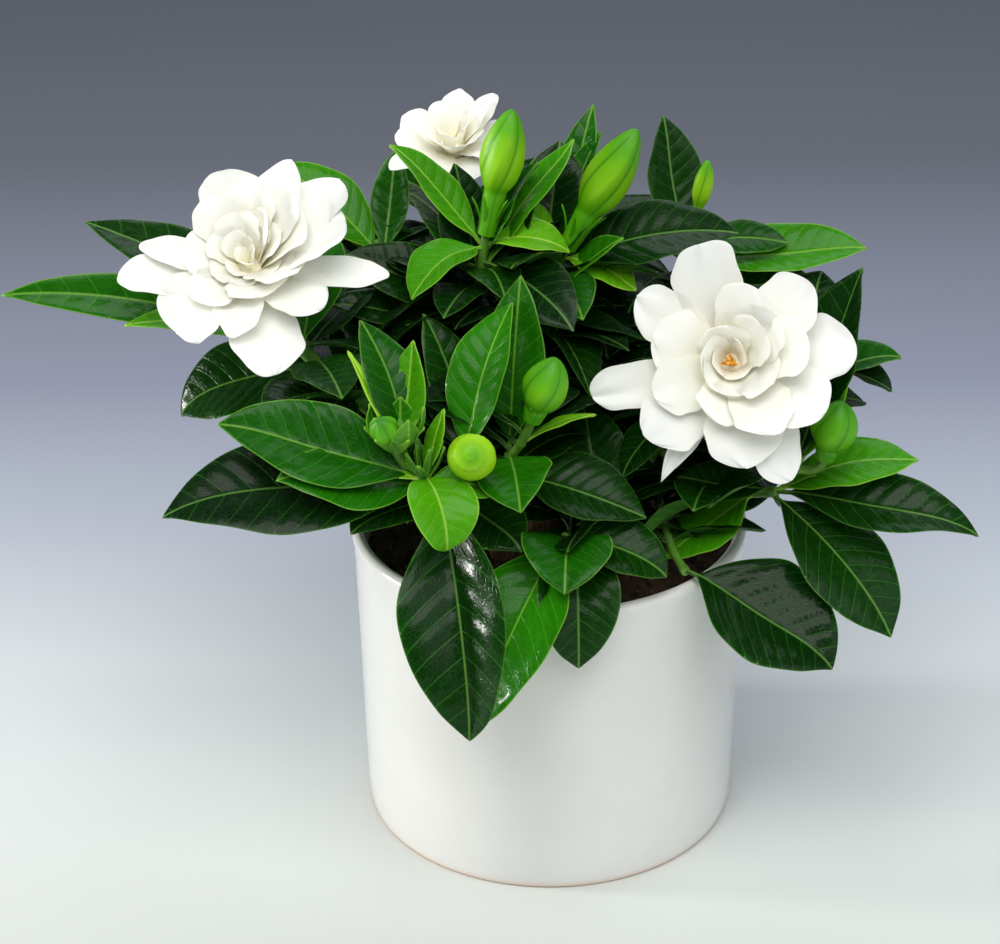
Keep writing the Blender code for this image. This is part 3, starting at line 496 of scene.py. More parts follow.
# A stem row: the stem that it leaves and how far up that one, the control point and head of its
# path, and its leaves. A leaf row: up the path, bearing, rise at the base, length, width, droop,
# roll, age, fold; a row that stops after its droop is an inner leaf.
SHOOTS = {
    "shoot_front_left": ("left", [
        (None, 0, (-36, -52, 144), (-42, -72, 166), [
            (0.75, -171, 13, 90, 37, 20, -40, 0.00), (0.92, 180, 31, 70, 29, 25, -35, 0.30),
            (0.78, -161, 29, 54, 24, 25, -30, 0.36), (0.97, -70, 30, 33, 23, 130, 0, 0.72, 26),
            (0.65, -78, -15, 86, 36, 84, 27, 0.10, 34), (0.97, -6, 0, 25, 16, 20, 20, 0.62),
            (0.97, 172, 8, 22, 5, -20, -20, 0.9),
            *[(0.95, 52 * k, 66 - 16 * (k % 3), 13 + k % 3, 4, -25, 0, 0.42) for k in range(9)],
            (0.85, 200, 40, 15, 4, -30, 0, 0.55), (0.80, 120, 55, 15, 4, -20, 0, 0.50),
            (0.97, 50, 60, 24, 8, -10, 0, 0.75), (0.35, -150, 15, 40, 26, 30),
            (0.35, -50, 10, 36, 24, 30),
        ]),
        (0, 0.60, (-28, -55, 165), (-27, -66, 171), [
            (0.50, 54, 58, 57, 24, -10, 0, 0.45),
        ]),
        (0, 0.80, (-47, -64, 162), (-51, -72, 178), [
            (0.80, 75, 60, 38, 14, 0, 0, 0.66), (0.90, 140, 62, 36, 5, 10, 0, 0.95),
            (0.50, 125, 68, 54, 20, 10, 0, 0.25),
            *[(0.90, 72 * k + 10, 22, 19, 11, -75, 0, 0.50) for k in range(5)],
            *[(0.97, 65 * k + 40, 15, 12, 3, -40, 0, 0.55) for k in range(6)],
        ]),
        (0, 0.12, (-16, -44, 146), (-14, -50, 163), [
            (0.97, 78, 72, 60, 23, 4, 0, 0.34), (0.97, -85, 19, 40, 25, 35, 0, 0.38),
            (0.70, -14, 0, 50, 28, 28, 15, 0.10), (0.50, 135, 62, 62, 22, 5, 0, 0.15),
            (0.60, 40, 25, 40, 24, 30), (0.50, 170, 20, 40, 24, 30),
        ]),
        (3, 0.96, (-10, -56, 169), (-7, -57, 178), [
            (0.50, 8, 30, 27, 7, 20, 0, 0.85),
        ]),
    ]),
    "shoot_left": ("left", [
        (None, 0, (-88, -17, 183), (-96, -27, 215), [
            (0.70, 175, 12, 98, 16, 5, -50, 0.35), (0.50, 161, 38, 98, 28, 20, -25, 0.12),
            (0.52, 167, -4, 58, 32, 30, -35, 0.12), (0.66, -170, 24, 58, 15, 25, -30, 0.70),
            (0.62, 80, 40, 50, 24, 20, 0, 0.30),
            (0.30, 228, 40, 56, 28, 34, 0, 0.10), (0.55, 285, 30, 44, 24, 45, 10, 0.14),
            (0.25, 290, 20, 44, 26, 40, 0, 0.05), (0.40, 250, 10, 40, 24, 40, 0, 0.05),
            (0.60, 100, 15, 60, 28, 30), (0.35, 60, 20, 46, 26, 30), (0.40, 120, 20, 50, 26, 30),
        ]),
        (0, 0.15, (-52, -14, 138), (-74, -8, 158), [
            (0.97, 150, 20, 50, 26, 35), (0.97, -160, 20, 34, 24, 40, -20, 0.15),
            (0.70, 120, 5, 60, 30, 30), (0.50, -150, -5, 34, 26, 20, -20, 0.15),
            (0.97, 60, 50, 44, 22, 30), (0.45, 30, 30, 40, 24, 30),
        ]),
    ]),
    "shoot_front_right": ("right", [
        (None, 0, (10, -38, 126), (4, -58, 136), [
            (0.90, -94, 19, 34, 30, 50, 0, 0.30), (0.90, 235, -11, 72, 38, 60, -8, 0.42),
            (0.75, -89, -6, 52, 28, 80, 0, 0.12), (0.97, -15, 5, 37, 23, 40, 20, 0.12),
            *whorl(0.55, 20, 30, 38, 26),
            (0.30, 100, 65, 40, 24, 20, 0, 0.20),
        ]),
    ]),
    "shoot_right": ("right", [
        (None, 0, (62, -23, 179), (59, -43, 191), [
            (0.40, 20, 45, 50, 22, 20, 20, 0.30), (0.50, 150, 20, 34, 20, 30, -20, 0.20),
            (0.20, 60, 30, 44, 26, 30), (0.20, -60, 30, 44, 26, 30),
        ]),
        (0, 0.40, (86, -43, 143), (90, -47, 158), [
            (0.30, 46, 46, 74, 26, 5, 0, 0.08),
            (0.60, 33, 55, 36, 12, 0, 0, 0.75), (0.60, 47, 66, 70, 36, 5, -10, 0.08),
            (0.60, -160, 5, 34, 22, 40, 20, 0.10),
        ]),
        (0, 0.12, (54, -22, 130), (76, -36, 141), [
            (0.97, -14, 6, 71, 26, 20, 32, 0.10), (0.94, -37, -20, 65, 34, 35, 12, 0.12),
            (0.97, -2, 22, 51, 26, 12, 12, 0.60), (0.97, 4, 22, 23, 8, 0, 0, 0.80),
            (0.97, 172, 15, 33, 17, 20, -30, 0.15), (0.85, -165, -22, 38, 25, 20, -20, 0.60),
            (0.50, -105, 26, 37, 20, 20, 0, 0.15), (0.60, 120, 20, 44, 26, 30),
        ]),
        (0, 0.25, (74, 6, 148), (96, 10, 166), [
            (0.80, 0, 30, 38, 20, 20, 10, 0.30), (0.97, 80, 30, 40, 24, 30),
            (0.60, 30, 0, 44, 26, 30), (0.97, -30, 10, 28, 18, 30),
            (0.80, 70, 60, 44, 26, 20, 0, 0.04), (0.97, 120, 10, 36, 20, 30),
            (0.45, 150, 15, 40, 26, 30),
        ]),
        (0, 0.08, (38, -34, 120), (45, -50, 118), [
            (0.97, -26, -8, 60, 42, 30, 22, 0.06), (0.60, 200, 10, 30, 20, 40, 0, 0.02),
            (0.60, -10, 25, 34, 22, 30),
        ]),
    ]),
    "shoot_top": ("middle", [
        (None, 0, (-28, 2, 186), (-21, 0, 220), [
            (0.60, 174, 30, 50, 24, 20, -30, 0.08), (0.94, 159, 48, 47, 16, 0, -20, 0.62),
            (0.94, -4, 34, 31, 16, 76, 16, 0.80), (0.94, -138, 5, 36, 22, 40, -10, 0.60),
            (0.80, -74, 32, 32, 18, 50, 0, 0.15), (0.80, 22, 50, 55, 16, 0, 0, 0.55),
            (0.45, -175, 25, 56, 20, 20, -10, 0.10), (0.80, 62, 30, 44, 22, 20, 0, 0.40),
            (0.70, 140, 55, 44, 22, 20, 0, 0.10), (0.70, 118, 75, 44, 24, 20, 0, 0.08),
            (0.70, 50, 66, 50, 26, 20, 0, 0.08), (0.85, 20, 66, 40, 18, 10, 0, 0.30),
            *whorl(0.35, -60, 25, 44, 24),
        ]),
        (0, 0.06, (-8, 8, 187), (6, 5, 213), [
            (0.94, 152, 56, 29, 14, 20, 0, 0.80), (0.68, 50, 60, 60, 16, 0, 0, 0.25),
            (0.94, -18, -5, 29, 16, 30, 20, 0.80), (0.80, -76, 31, 42, 19, 60, 0, 0.25),
            (0.68, 60, 58, 68, 18, 0, 0, 0.30), (0.88, 0, 24, 64, 28, 25, 30, 0.08),
            (0.50, -27, 53, 50, 18, 10, 10, 0.45),
            (0.80, 119, 56, 34, 17, 20, 0, 0.66), (0.70, 75, 73, 52, 28, 20, 0, 0.06),
            (0.75, 20, 60, 48, 22, 20, 0, 0.05), (0.80, 160, 62, 36, 18, 20, 0, 0.12),
            (0.40, -40, 25, 46, 24, 30), (0.40, 80, 25, 46, 24, 30),
        ]),
    ]),
    "shoot_back_left": ("middle", [
        (None, 0, (-31, 63, 198), (-32, 53, 226), [
            (0.60, 137, 27, 44, 20, 20, -20, 0.15), (0.60, 40, 20, 46, 24, 30),
            (0.70, 110, 10, 50, 26, 30), (0.50, 170, 15, 54, 26, 30), (0.45, 130, 0, 50, 28, 30),
        ]),
        (0, 0.15, (-48, 24, 168), (-60, 40, 203), [
            (0.90, 152, 46, 53, 22, 20, -20, 0.55), (0.90, 78, 58, 40, 14, 0, 0, 0.30),
            (0.80, 130, 20, 56, 28, 30), (0.60, 180, 15, 56, 28, 30, -20, 0.15),
            (0.55, 110, 5, 60, 30, 30), (0.35, 80, 15, 46, 26, 30),
        ]),
        (1, 0.15, (-34, 62, 148), (-58, 76, 160), [
            (0.97, 150, 20, 54, 28, 35), (0.97, 100, 35, 50, 26, 30),
            (0.80, -170, 10, 52, 26, 30, -10, 0.15), (0.60, 110, 0, 54, 30, 30),
            (0.97, 40, 45, 46, 22, 30), (0.50, 160, 10, 44, 26, 30),
        ]),
    ]),
    "shoot_back_right": ("back", [
        (None, 0, (48, 42, 175), (52, 40, 205), [
            (0.85, 117, 68, 50, 23, 0, 0, 0.12), (0.90, -5, 18, 35, 16, 30, 20, 0.20),
            (0.80, -5, 14, 64, 24, 15, 25, 0.55), (0.50, 0, 20, 62, 22, 25, 25, 0.15),
            (0.75, 70, 5, 50, 26, 30), (0.60, 40, 0, 54, 28, 30), (0.35, 150, 15, 46, 26, 30),
            (0.35, -90, 15, 46, 26, 30),
        ]),
        (0, 0.15, (50, 62, 148), (70, 64, 160), [
            (0.97, 45, 15, 54, 28, 35), (0.97, 0, 15, 46, 24, 35), (0.97, 100, 30, 46, 24, 30),
            (0.70, 70, 0, 54, 30, 30), (0.60, 20, 0, 50, 28, 30),
        ]),
        (0, 0.10, (4, 60, 175), (6, 76, 182), [
            (0.97, 90, 20, 56, 28, 35), (0.97, 160, 35, 50, 24, 35), (0.97, 20, 35, 50, 24, 35),
            (0.80, 120, 10, 56, 30, 30), (0.70, 55, 5, 56, 30, 30), (0.45, 80, 10, 46, 26, 30),
        ]),
    ]),
}
SHOOT_START = 6.4                           # how far from the knuckle a green shoot starts


def stem_paths(name):
    """The path (start, control, head) of every stem of a shoot, in the table's order.

    A main stem starts a little way off its knuckle, and a fork starts on the stem that it leaves.
    """
    woody, rows = SHOOTS[name]
    knuckle = np.array(WOODY_STEMS[woody][1], float)
    paths = []
    for row in rows:
        parent, up, control, head = row[:4]
        if parent is None:
            start = knuckle + SHOOT_START * unit(np.array(control, float) - knuckle)
        else:
            start = bend(*paths[parent], up)
        paths.append((start, control, head))
    return paths


print("leaves in the table:", sum(len(stem[4]) for woody, stems in SHOOTS.values() for stem in stems))

# %% [markdown]
# ### Leaf finish
# The top of a leaf has a thin wax, so it shines like satin varnish, and the veins show as pale
# lines. The underside is paler and matt. An image wrapped on each blade could show this. Here every
# point of a leaf carries where it is on the blade: its place between the side veins, its distance
# from the midrib, its distance from the margin. So a pattern worked out from those numbers turns
# and bends with the leaf, and stays sharp from near by.

# %% Waxed leaf: veins and net
# A living leathery blade with a skin of wax: the eye sees deep green, pale lines and satin gloss.
foliage, tree, shader, at = finish("waxed_gardenia_leaf")
grid = add(tree, "Attribute", {"attribute_name": "grid"}).outputs["Vector"]
kind = add(tree, "Attribute", {"attribute_name": "kind"}).outputs["Vector"]
place = add(tree, "SeparateXYZ", None, (grid,)).outputs               # vein number, mm off the midrib
marks = add(tree, "SeparateXYZ", None, (kind,)).outputs               # age, mm from the margin, side

# A MapRange node takes a value, its low and high level, and what it gives at each.
nearest = add(tree, "Math", {"operation": "ROUND"}, (place["X"],))
beside = add(tree, "Math", UNSIGNED, (add(tree, "Math", MINUS, (place["X"], nearest)),))
from_vein = add(tree, "Math", TIMES, (beside, 7.0))                         # veins lie about 7 mm apart
vein = add(tree, "MapRange", SMOOTH, (from_vein, 0.08, 0.36, 1.0, 0.0))     # a side vein is 0.4 mm wide
off_rib = add(tree, "Math", UNSIGNED, (place["Y"],))
rib = add(tree, "MapRange", SMOOTH, (off_rib, 0.20, 0.55, 1.0, 0.0))        # the midrib is 0.8 mm wide
# A pale line along the margin: partly the yellow-green margin of young leaves, partly a painted rim
# highlight.
pale_margin_and_highlight = add(tree, "MapRange", SMOOTH, (marks["Y"], 0.10, 0.65, 0.70, 0.0))   # a thin pale margin
on_blade = add(tree, "Mapping", None, {"Vector": grid, "Scale": (7.0, 1.0, 0.0)})
# The net between the veins has meshes of 1.3 mm: real ones are finer and would not show.
net = add(tree, "TexVoronoi", {"feature": "DISTANCE_TO_EDGE"}, {"Vector": on_blade, "Scale": 0.75})
net_lines = add(tree, "MapRange", SMOOTH, (net, 0.0, 0.12, 1.0, 0.0))
speckle = add(tree, "TexNoise", None, {"Vector": on_blade, "Scale": 0.35, "Detail": 4})       # 3 mm
patches = add(tree, "TexNoise", None, {"Vector": at, "Scale": 34, "Detail": 2})               # 29 mm
print(foliage.name, "nodes so far:", len(tree.nodes))

# %% Waxed leaf: colours
# The first mark is a leaf's age. Inner leaves get it near 0, so their darkest greens are partly age and
# partly painted shade inside the bush.
age_and_shade = add(tree, "Math", PLUS, (marks["X"], add(tree, "Math", TIMES_PLUS, (speckle, 0.16, -0.08))))
LEAF_GREENS = (                             # top, underside, side veins, midrib: each by age
    [(0.0, "#051d06"), (0.12, "#093004"), (0.3, "#125504"), (0.5, "#257605"), (0.75, "#4c9c08"),
     (1.0, "#7fc016")],
    [(0.0, "#2f5c22"), (0.45, "#4a8a26"), (1.0, "#8fc63a")],
    [(0.0, "#2c661e"), (0.45, "#4f9a20"), (1.0, "#a4d83c")],
    [(0.0, "#57863a"), (0.45, "#74ac38"), (1.0, "#b4de50")])
top_green, under_green, vein_green, rib_green = (
    add(tree, "ValToRGB", {"stops": stops}, (age_and_shade,)) for stops in LEAF_GREENS)
deepness = add(tree, "MapRange", SMOOTH, (patches, 0.35, 0.65, 0.86, 1.08))
beneath = add(tree, "Math", {"operation": "LESS_THAN"}, (marks["Z"], -0.02))
underside = add(tree, "Mix", COLOURS, {
    "Factor": add(tree, "Math", TIMES, (vein, 0.6)), "A": under_green, "B": rib_green})
pale_with_age = add(tree, "MapRange", SMOOTH, (marks["X"], 0.0, 0.4, 0.3, 1.0))
lined = add(tree, "HueSaturation", None, {"Color": top_green, "Value": deepness})
for share, colour in (                              # each layer lies over the ones before it
        (add(tree, "Math", TIMES, (net_lines, 0.10)), vein_green),
        (add(tree, "Math", TIMES, (vein, 0.38)), vein_green),
        (beneath, underside),
        (add(tree, "Math", TIMES, (rib, 0.7)), rib_green),
        (add(tree, "Math", TIMES, (pale_margin_and_highlight, pale_with_age)), rib_green)):
    lined = add(tree, "Mix", COLOURS, {"Factor": share, "A": lined, "B": colour})
print(foliage.name, "nodes so far:", len(tree.nodes))

# %% Waxed leaf: gloss and relief
dust = add(tree, "MapRange", SMOOTH, (marks["X"], -0.06, 0.06, 0.16, 0.0))     # old inner leaves are dusty
wax = add(tree, "MapRange", SMOOTH, (speckle, 0.3, 0.7, 0.15, 0.27))
rough = add(tree, "Math", TIMES_PLUS, (beneath, 0.3, add(tree, "Math", PLUS, (dust, wax))))
relief = add(tree, "Math", TIMES_PLUS, (net_lines, -0.25, add(tree, "Math", TIMES, (speckle, 0.8))))
relief = add(tree, "Math", TIMES_PLUS, (vein, -0.8, relief))
bump = add(tree, "Bump", None, {"Strength": 0.32, "Distance": 0.0004, "Height": relief})
fill(shader, {"Base Color": lined, "Roughness": rough, "Normal": bump, "IOR": 1.45,
              "Specular IOR Level": 0.13, "Coat Weight": 0.08, "Coat Roughness": 0.10,
              "Subsurface Weight": 0.12, "Subsurface Radius": (0.3, 0.8, 0.1), "Subsurface Scale": 0.002})
print(foliage.name, "nodes:", len(tree.nodes))

# %% [markdown]
# ### Leaf shape
# A leaf is a sheet bent along a curve that sinks towards its tip, narrow at the stalk, full in the
# middle and drawn out to a point. The fold, the swellings between veins and the wave of the margin
# are all heights off that sheet. Sculpting could raise them on one leaf. As a formula each is one
# line that serves every leaf, and the top and the underside share them and stay one thickness apart.

# %% Leaf outline and bend
random = np.random.default_rng(11)
PETIOLE, BLADE = 0.07, 0.93                 # shares of a leaf's length: bare stalk and blade
LEAF_FOLD, HALF_THICKNESS, STALK = 17.0, 0.28, 0.8
LONG_LEAF, VEINS_LONG, VEINS_SHORT = 40, 9.5, 7.5      # a length, and side veins above and below it
VEIN_RISE, VEIN_CURVE = 0.62, 0.014         # how far a vein climbs on its way to the margin


def leaf_outline(along):
    """Half width as a share of the widest: a sine to a falling power, drawn in at the tip.

    Share = sin(pi * along^0.96)^(1.12 - 0.37 * along), and half of that at the very tip.
    """
    along = np.clip((along - PETIOLE) / BLADE, 0, 1)
    drawn_in = np.clip((along - 0.84) / 0.16, 0, 1) ** 2
    return np.sin(np.pi * along ** 0.96) ** (1.12 - 0.37 * along) * (1 - 0.5 * drawn_in)


def leaf_frame(base, bearing, rise, length, droop, roll, along, sway=(0, 0, 0)):
    """Centres, sides and normals of a leaf whose rise falls by `droop` from base to tip.

    Rise at a share of the length = rise - droop * share + sway * sin(2 pi share) - hook * share^5.
    The three values of `sway` are that bend up and down, the hook of the tip, and a twist of the
    blade that grows towards it. The centres are the sum of short steps along the rise.
    """
    def slant(at):
        """The rise at a share of the length, in radians."""
        return np.radians(rise - droop * at + sway[0] * np.sin(2 * np.pi * at) - sway[1] * at ** 5)

    turn, tilt = math.radians(bearing), np.radians(roll + sway[2] * along)[:, None]
    fine = np.linspace(0, 1, 61)
    slope = slant((fine[:-1] + fine[1:]) / 2)
    steps = np.stack([np.cos(slope) * math.cos(turn), np.cos(slope) * math.sin(turn),
                      np.sin(slope)], 1) * length / 60
    path = np.concatenate([[np.zeros(3)], np.cumsum(steps, 0)])
    centres = np.asarray(base) + read_path(along, fine, path)
    slope = slant(along)
    level = np.zeros((len(along), 3)) + [-math.sin(turn), math.cos(turn), 0]
    upward = np.stack([-np.sin(slope) * math.cos(turn), -np.sin(slope) * math.sin(turn),
                       np.cos(slope)], 1)
    sides = level * np.cos(tilt) + upward * np.sin(tilt)
    return centres, sides, upward * np.cos(tilt) - level * np.sin(tilt)


print("a leaf is widest at, percent of its length:", np.argmax(leaf_outline(np.linspace(0, 1, 101))))


# %% Leaf surface
def lens(halves):
    """Round a flat closed lens: places across it, 1 to -1 and back, and its side, 1 on top, -1 beneath."""
    across = np.concatenate([np.linspace(1, -1, 2 * halves + 1), np.linspace(-1, 1, 2 * halves + 1)[1:-1]])
    side = np.concatenate([[0], np.ones(2 * halves - 1), [0], -np.ones(2 * halves - 1)])
    return across, side


def triples(*values):
    """Three values for every point of a grid, from arrays or numbers that spread over it."""
    return np.stack(np.broadcast_arrays(*values), -1)


def leaf_detail(inner, length, width):
    """Rows along a leaf and half its columns across: few on inner and on narrow leaves."""
    if inner:
        return 22, 5
    if width <= 10:
        return 24, 5
    return (56 if length > LONG_LEAF else 44), 10


def leaf(base, row):
    """A leaf blade on its stalk: a closed lens whose middle sheet is folded, quilted and waved.

    Height off the sheet = tan(fold) * distance from the midrib + quilt * (|sin(pi * vein number)|^0.6
    - 0.6) + margin wave - a small drop at the very edge. Vein number = (distance up the blade - rise
    of the side veins) / vein spacing. Margin wave = two sines up the blade * place across^2. The half
    thickness fades towards the margin, and the midrib adds a ridge underneath.
    """
    inner = len(row) == 6
    bearing, rise, length, width, droop = row[1:6]
    # Inner leaves: a low age gives the darkest greens, partly their age and partly painted shade deep in
    # the bush.
    roll, age_and_shade = (random.uniform(-25, 25), random.uniform(-0.06, 0.12)) if inner else row[6:8]
    fold = row[8] if len(row) > 8 else LEAF_FOLD + random.uniform(-6, 9)
    narrow = min(1.0, width / 16)
    sway = np.array([random.uniform(-10, 10), random.uniform(-8, 34), random.uniform(-22, 22)]) * narrow
    rows, halves = leaf_detail(inner, length, width)
    along = np.linspace(0, 1, rows + 1)[:-1]
    across, side = lens(halves)
    shape = (base, bearing, rise, length, droop, roll)
    centres, sides, normals = leaf_frame(*shape, along, sway)
    tip = leaf_frame(*shape, np.array([1.0]), sway)[0][0]
    half = np.maximum(width / 2 * leaf_outline(along), STALK)[:, None]
    blade = np.clip((along - PETIOLE) / BLADE, 0, 1)[:, None]
    full = np.clip(half / (width / 2), 0, 1)
    off = across * half
    reach = blade * length * BLADE
    spacing = length * BLADE / (VEINS_LONG if length > LONG_LEAF else VEINS_SHORT)
    veins = (reach - VEIN_RISE * np.abs(off) - VEIN_CURVE * off ** 2) / spacing
    chance = random.uniform(0, WHOLE_TURN, 4)
    quilt = (1.0 + 0.3 * np.sin(chance[3])) * min(1.0, width / 30)
    quilt = quilt * np.sin(np.pi * np.abs(across)) ** 0.7 * full
    wave = width / 30 * across ** 2 * full * (
        0.8 * np.sin(8 * blade + chance[0] + 1.3 * np.sign(across))
        + 0.45 * np.sin(19 * blade + chance[1] * across))
    height = (math.tan(math.radians(fold)) * half * (np.sqrt(across ** 2 + 0.012) - 0.11)
              + quilt * (np.abs(np.sin(np.pi * veins)) ** 0.6 - 0.6) + wave
              - 0.10 * half * np.abs(across) ** 4)
    height = height * np.clip(blade * 14, 0, 1)
    stalk = np.clip(1 - blade * 9, 0, 1)
    thick = HALF_THICKNESS * (1 - across ** 6) + 0.45 * np.exp(-(off / 0.9) ** 2) * (side < 0)
    thick = thick * (1 - stalk) + STALK * np.sqrt(np.clip(1 - across ** 2, 0, 1)) * stalk
    rings = (centres[:, None] + off[..., None] * sides[:, None]
             + (height + side * thick)[..., None] * normals[:, None])
    grid = (veins + 20, off, 0)                                               # 20 keeps it above 0
    kind = (age_and_shade, half * (1 - np.abs(across)), side)
    return skin(rings, centres[0], tip, {"grid": triples(*grid), "kind": triples(*kind)})


print("points in a large leaf:", 56 * len(lens(10)[0]) + 2)

# %% [markdown]
# ### Green stems and inner leaves
# This year's shoots are still green, round, and a little thicker where leaves leave them: tubes
# along bent paths. Deep in the bush sit older leaves that nobody would place one by one. Geometry
# nodes could scatter them. A short rule does it too: it turns by the golden angle, so that no two
# lie in line, and drops each leaf that would come near a bloom, a bud or the rim.

# %% Green bark
# Young bark, smooth and slightly waxed: the eye sees fresh green with faint streaks up the stem.
shoot_green, tree, shader, at = finish("green_shoot")
stretched = add(tree, "Mapping", None, {"Vector": at, "Scale": (1, 1, 0.3)})
streaks = add(tree, "TexNoise", None, {             # streaks 4 mm wide and 13 mm long
    "Vector": stretched, "Scale": 260, "Detail": 3})
greens = add(tree, "ValToRGB", {"stops": [
    (0.3, "#3c6a1f"), (0.6, "#5d8f2c"), (0.8, "#7aa63f")]}, (streaks,))
bump = add(tree, "Bump", None, {"Strength": 0.3, "Distance": 0.0004, "Height": streaks})
fill(shader, {"Base Color": greens, "Normal": bump, "Roughness": 0.45})
print(shoot_green.name, "nodes:", len(tree.nodes))

# %% Inner leaves
GOLDEN_ANGLE, INNER_TRIES, PROBE_ASIDE = 137.5, 20, 9
INNER_SPOTS = np.array([0.35, 0.7, 1.0])              # shares of a leaf's length that are tested
DOME_CENTRE, DOME_RADII = [-8, 10, 105], [112, 86, 132]
RIM_REACH, OVER_RIM, OVER_MIX = 56, 122, 106          # a radius, and least heights past and within it
FRONT_LINE, FRONT_SLOPE = -46, 0.2                    # a line in front of which no inner leaf comes
# Blooms and buds that inner leaves stay clear of: a place on each and how far it reaches.
KEEP_CLEAR = [((-100, -32, 226), 38), ((58, -56, 198), 38), ((-33, 50, 236), 22), ((-15, -1, 245), 12),
              ((20, 3, 238), 12), ((-2, -59, 190), 12), ((-27, -78, 176), 12), ((-53, -76, 186), 10),
              ((92, -49, 170), 12), ((54, 39, 220), 8)]


def inner_leaves(path, count):
    """Rows for old leaves inside the bush, turned by the golden angle up a stem.

    A leaf is kept if its middle, its tip and both edges lie inside the dome of the bush, which is
    an ellipsoid, clear of blooms and buds, and above the pot's rim where they reach over it.
    """
    kept = []
    for k in range(count):
        up = 0.12 + 0.8 * (k + random.uniform(0, 0.9)) / count
        length = random.uniform(36, 54)
        row = (up, GOLDEN_ANGLE * k + random.uniform(-30, 30), random.uniform(-5, 50), length, 0.5 * length,
               random.uniform(25, 55))
        centres, sides = leaf_frame(bend(*path, up), *row[1:4], row[5], 0, INNER_SPOTS)[:2]
        aside = sides[:2] * PROBE_ASIDE
        probes = np.concatenate([centres, centres[:2] + aside, centres[:2] - aside])
        dome = (((probes - DOME_CENTRE) / DOME_RADII) ** 2).sum(1).max()
        close = min(np.linalg.norm(probes - place, axis=1).min() - reach for place, reach in KEEP_CLEAR)
        floor_here = np.where(np.hypot(probes[:, 0], probes[:, 1]) > RIM_REACH, OVER_RIM, OVER_MIX)
        low = (probes[:, 2] < floor_here).any()
        front = (probes[:, 1] < FRONT_LINE - FRONT_SLOPE * np.abs(probes[:, 0])).any()
        if dome < 1 and close > 0 and not low and not front:
            kept.append(row)
    return kept


print("blooms and buds kept clear:", len(KEEP_CLEAR))

# %% Shoots with their leaves
BLOOMING = ("shoot_left", "shoot_right", "shoot_back_left")     # their heads swell into a bloom
MAIN_STEM, FORK, BLOOM_HEAD, NODE_SWELL = 1.9, 1.5, 2.6, 0.35
for name in SHOOTS:
    stems, blades, wood = SHOOTS[name][1], [], []
    for number, (path, row) in enumerate(zip(stem_paths(name), stems)):
        up = np.linspace(0, 1, 28)
        radii = np.linspace(MAIN_STEM if row[0] is None else FORK, FORK, len(up))
        if name in BLOOMING and number == 0:
            radii = np.interp(up, [0, 0.8, 1], [MAIN_STEM, MAIN_STEM, BLOOM_HEAD])
        nodes_at = sorted({leaf_row[0] for leaf_row in row[4]})
        swell = sum(NODE_SWELL * np.exp(-((up - spot) / 0.03) ** 2) for spot in nodes_at)
        wood.append(around_path(bend(*path, up), radii + swell, 12))
        for leaf_row in row[4] + inner_leaves(path, INNER_TRIES):
            blades.append(leaf(bend(*path, leaf_row[0]), leaf_row))
    piece(name + "_leaves", blades, foliage, name, 75)
    piece(name + "_stems", wood, shoot_green, None)

# %% [markdown]
# ## Buds
# A gardenia bud is a set of petals wound round each other like a furled umbrella, lime green. A
# twisted, sculpted egg could show that. Here the bud is an egg whose radius has a saw-tooth wave,
# one tooth for each fold, and the wave turns on its way to the tip, so each tooth is the edge of one
# folded petal. The bud that is seen end-on has a single fold, which winds most near the tip: that
# draws its spiral. Lighter lime where light would fall is painted light, and the darker seams are painted
# shade.

# %% Bud skin
# Living petals under a thin wax: the eye sees lime green with a soft gloss. Lighter lime on the
# bulge and on each fold's rise is painted light, and the darker seams are painted shade.
bud_lime, tree, shader, at = finish("furled_bud")
kind = add(tree, "Attribute", {"attribute_name": "kind"}).outputs["Vector"]
marks = add(tree, "SeparateXYZ", None, (kind,)).outputs               # fold phase, glow, folds
phase = add(tree, "Math", {"operation": "FRACT"}, (marks["X"],))
from_half = add(tree, "Math", UNSIGNED, (add(tree, "Math", MINUS, (phase, 0.5)),))
to_edge = add(tree, "Math", MINUS, (0.5, from_half))
folds = add(tree, "Math", {"operation": "MAXIMUM"}, (marks["Z"], 1.0))
# Painted shade: a darker line along each fold's edge, where one petal meets the next.
painted_seam_shade = add(tree, "Math", {"operation": "DIVIDE"}, (to_edge, folds))
painted_seam_shade = add(tree, "MapRange", SMOOTH, (painted_seam_shade, 0.0, 0.025, 1.0, 0.0))
cloud = add(tree, "TexNoise", None, {"Vector": at, "Scale": 160, "Detail": 3})                # 6 mm
# Painted light: each bud's light value, lighter on its bulge and on its fold rises, makes a lighter lime.
painted_glow = add(tree, "Math", TIMES_PLUS, (cloud, 0.15, marks["Y"]))
green = add(tree, "ValToRGB", {"stops": [
    (0.0, "#2a700a"), (0.3, "#459408"), (0.65, "#5aa806"), (1.0, "#90c80e")]}, (painted_glow,))
lined = add(tree, "Mix", COLOURS, {
    "Factor": add(tree, "Math", TIMES, (painted_seam_shade, 0.6)), "A": green, "B": linear("#2f7a0c")})
bump = add(tree, "Bump", None, {"Strength": 0.2, "Distance": 0.0005, "Height": cloud})
fill(shader, {"Base Color": lined, "Normal": bump, "Roughness": 0.45, "Specular IOR Level": 0.3,
              "Subsurface Weight": 0.25, "Subsurface Radius": (0.6, 1.0, 0.2), "Subsurface Scale": 0.003})
print(bud_lime.name, "nodes:", len(tree.nodes))

# %% Bud shape
SEAT_GAP = 1.0                              # between the head of a stem and the bud or bloom on it
SEPAL_PAINT = (0.3, 0.25, 0)                # fold phase, glow and folds: no seam, a darker green


def axes(facing):
    """Three unit vectors: the way a bloom faces, and the two that its angles run from."""
    axis = unit(facing)
    right = unit(np.array([1, 0, 0]) - axis * axis[0])
    return axis, right, np.cross(axis, right)


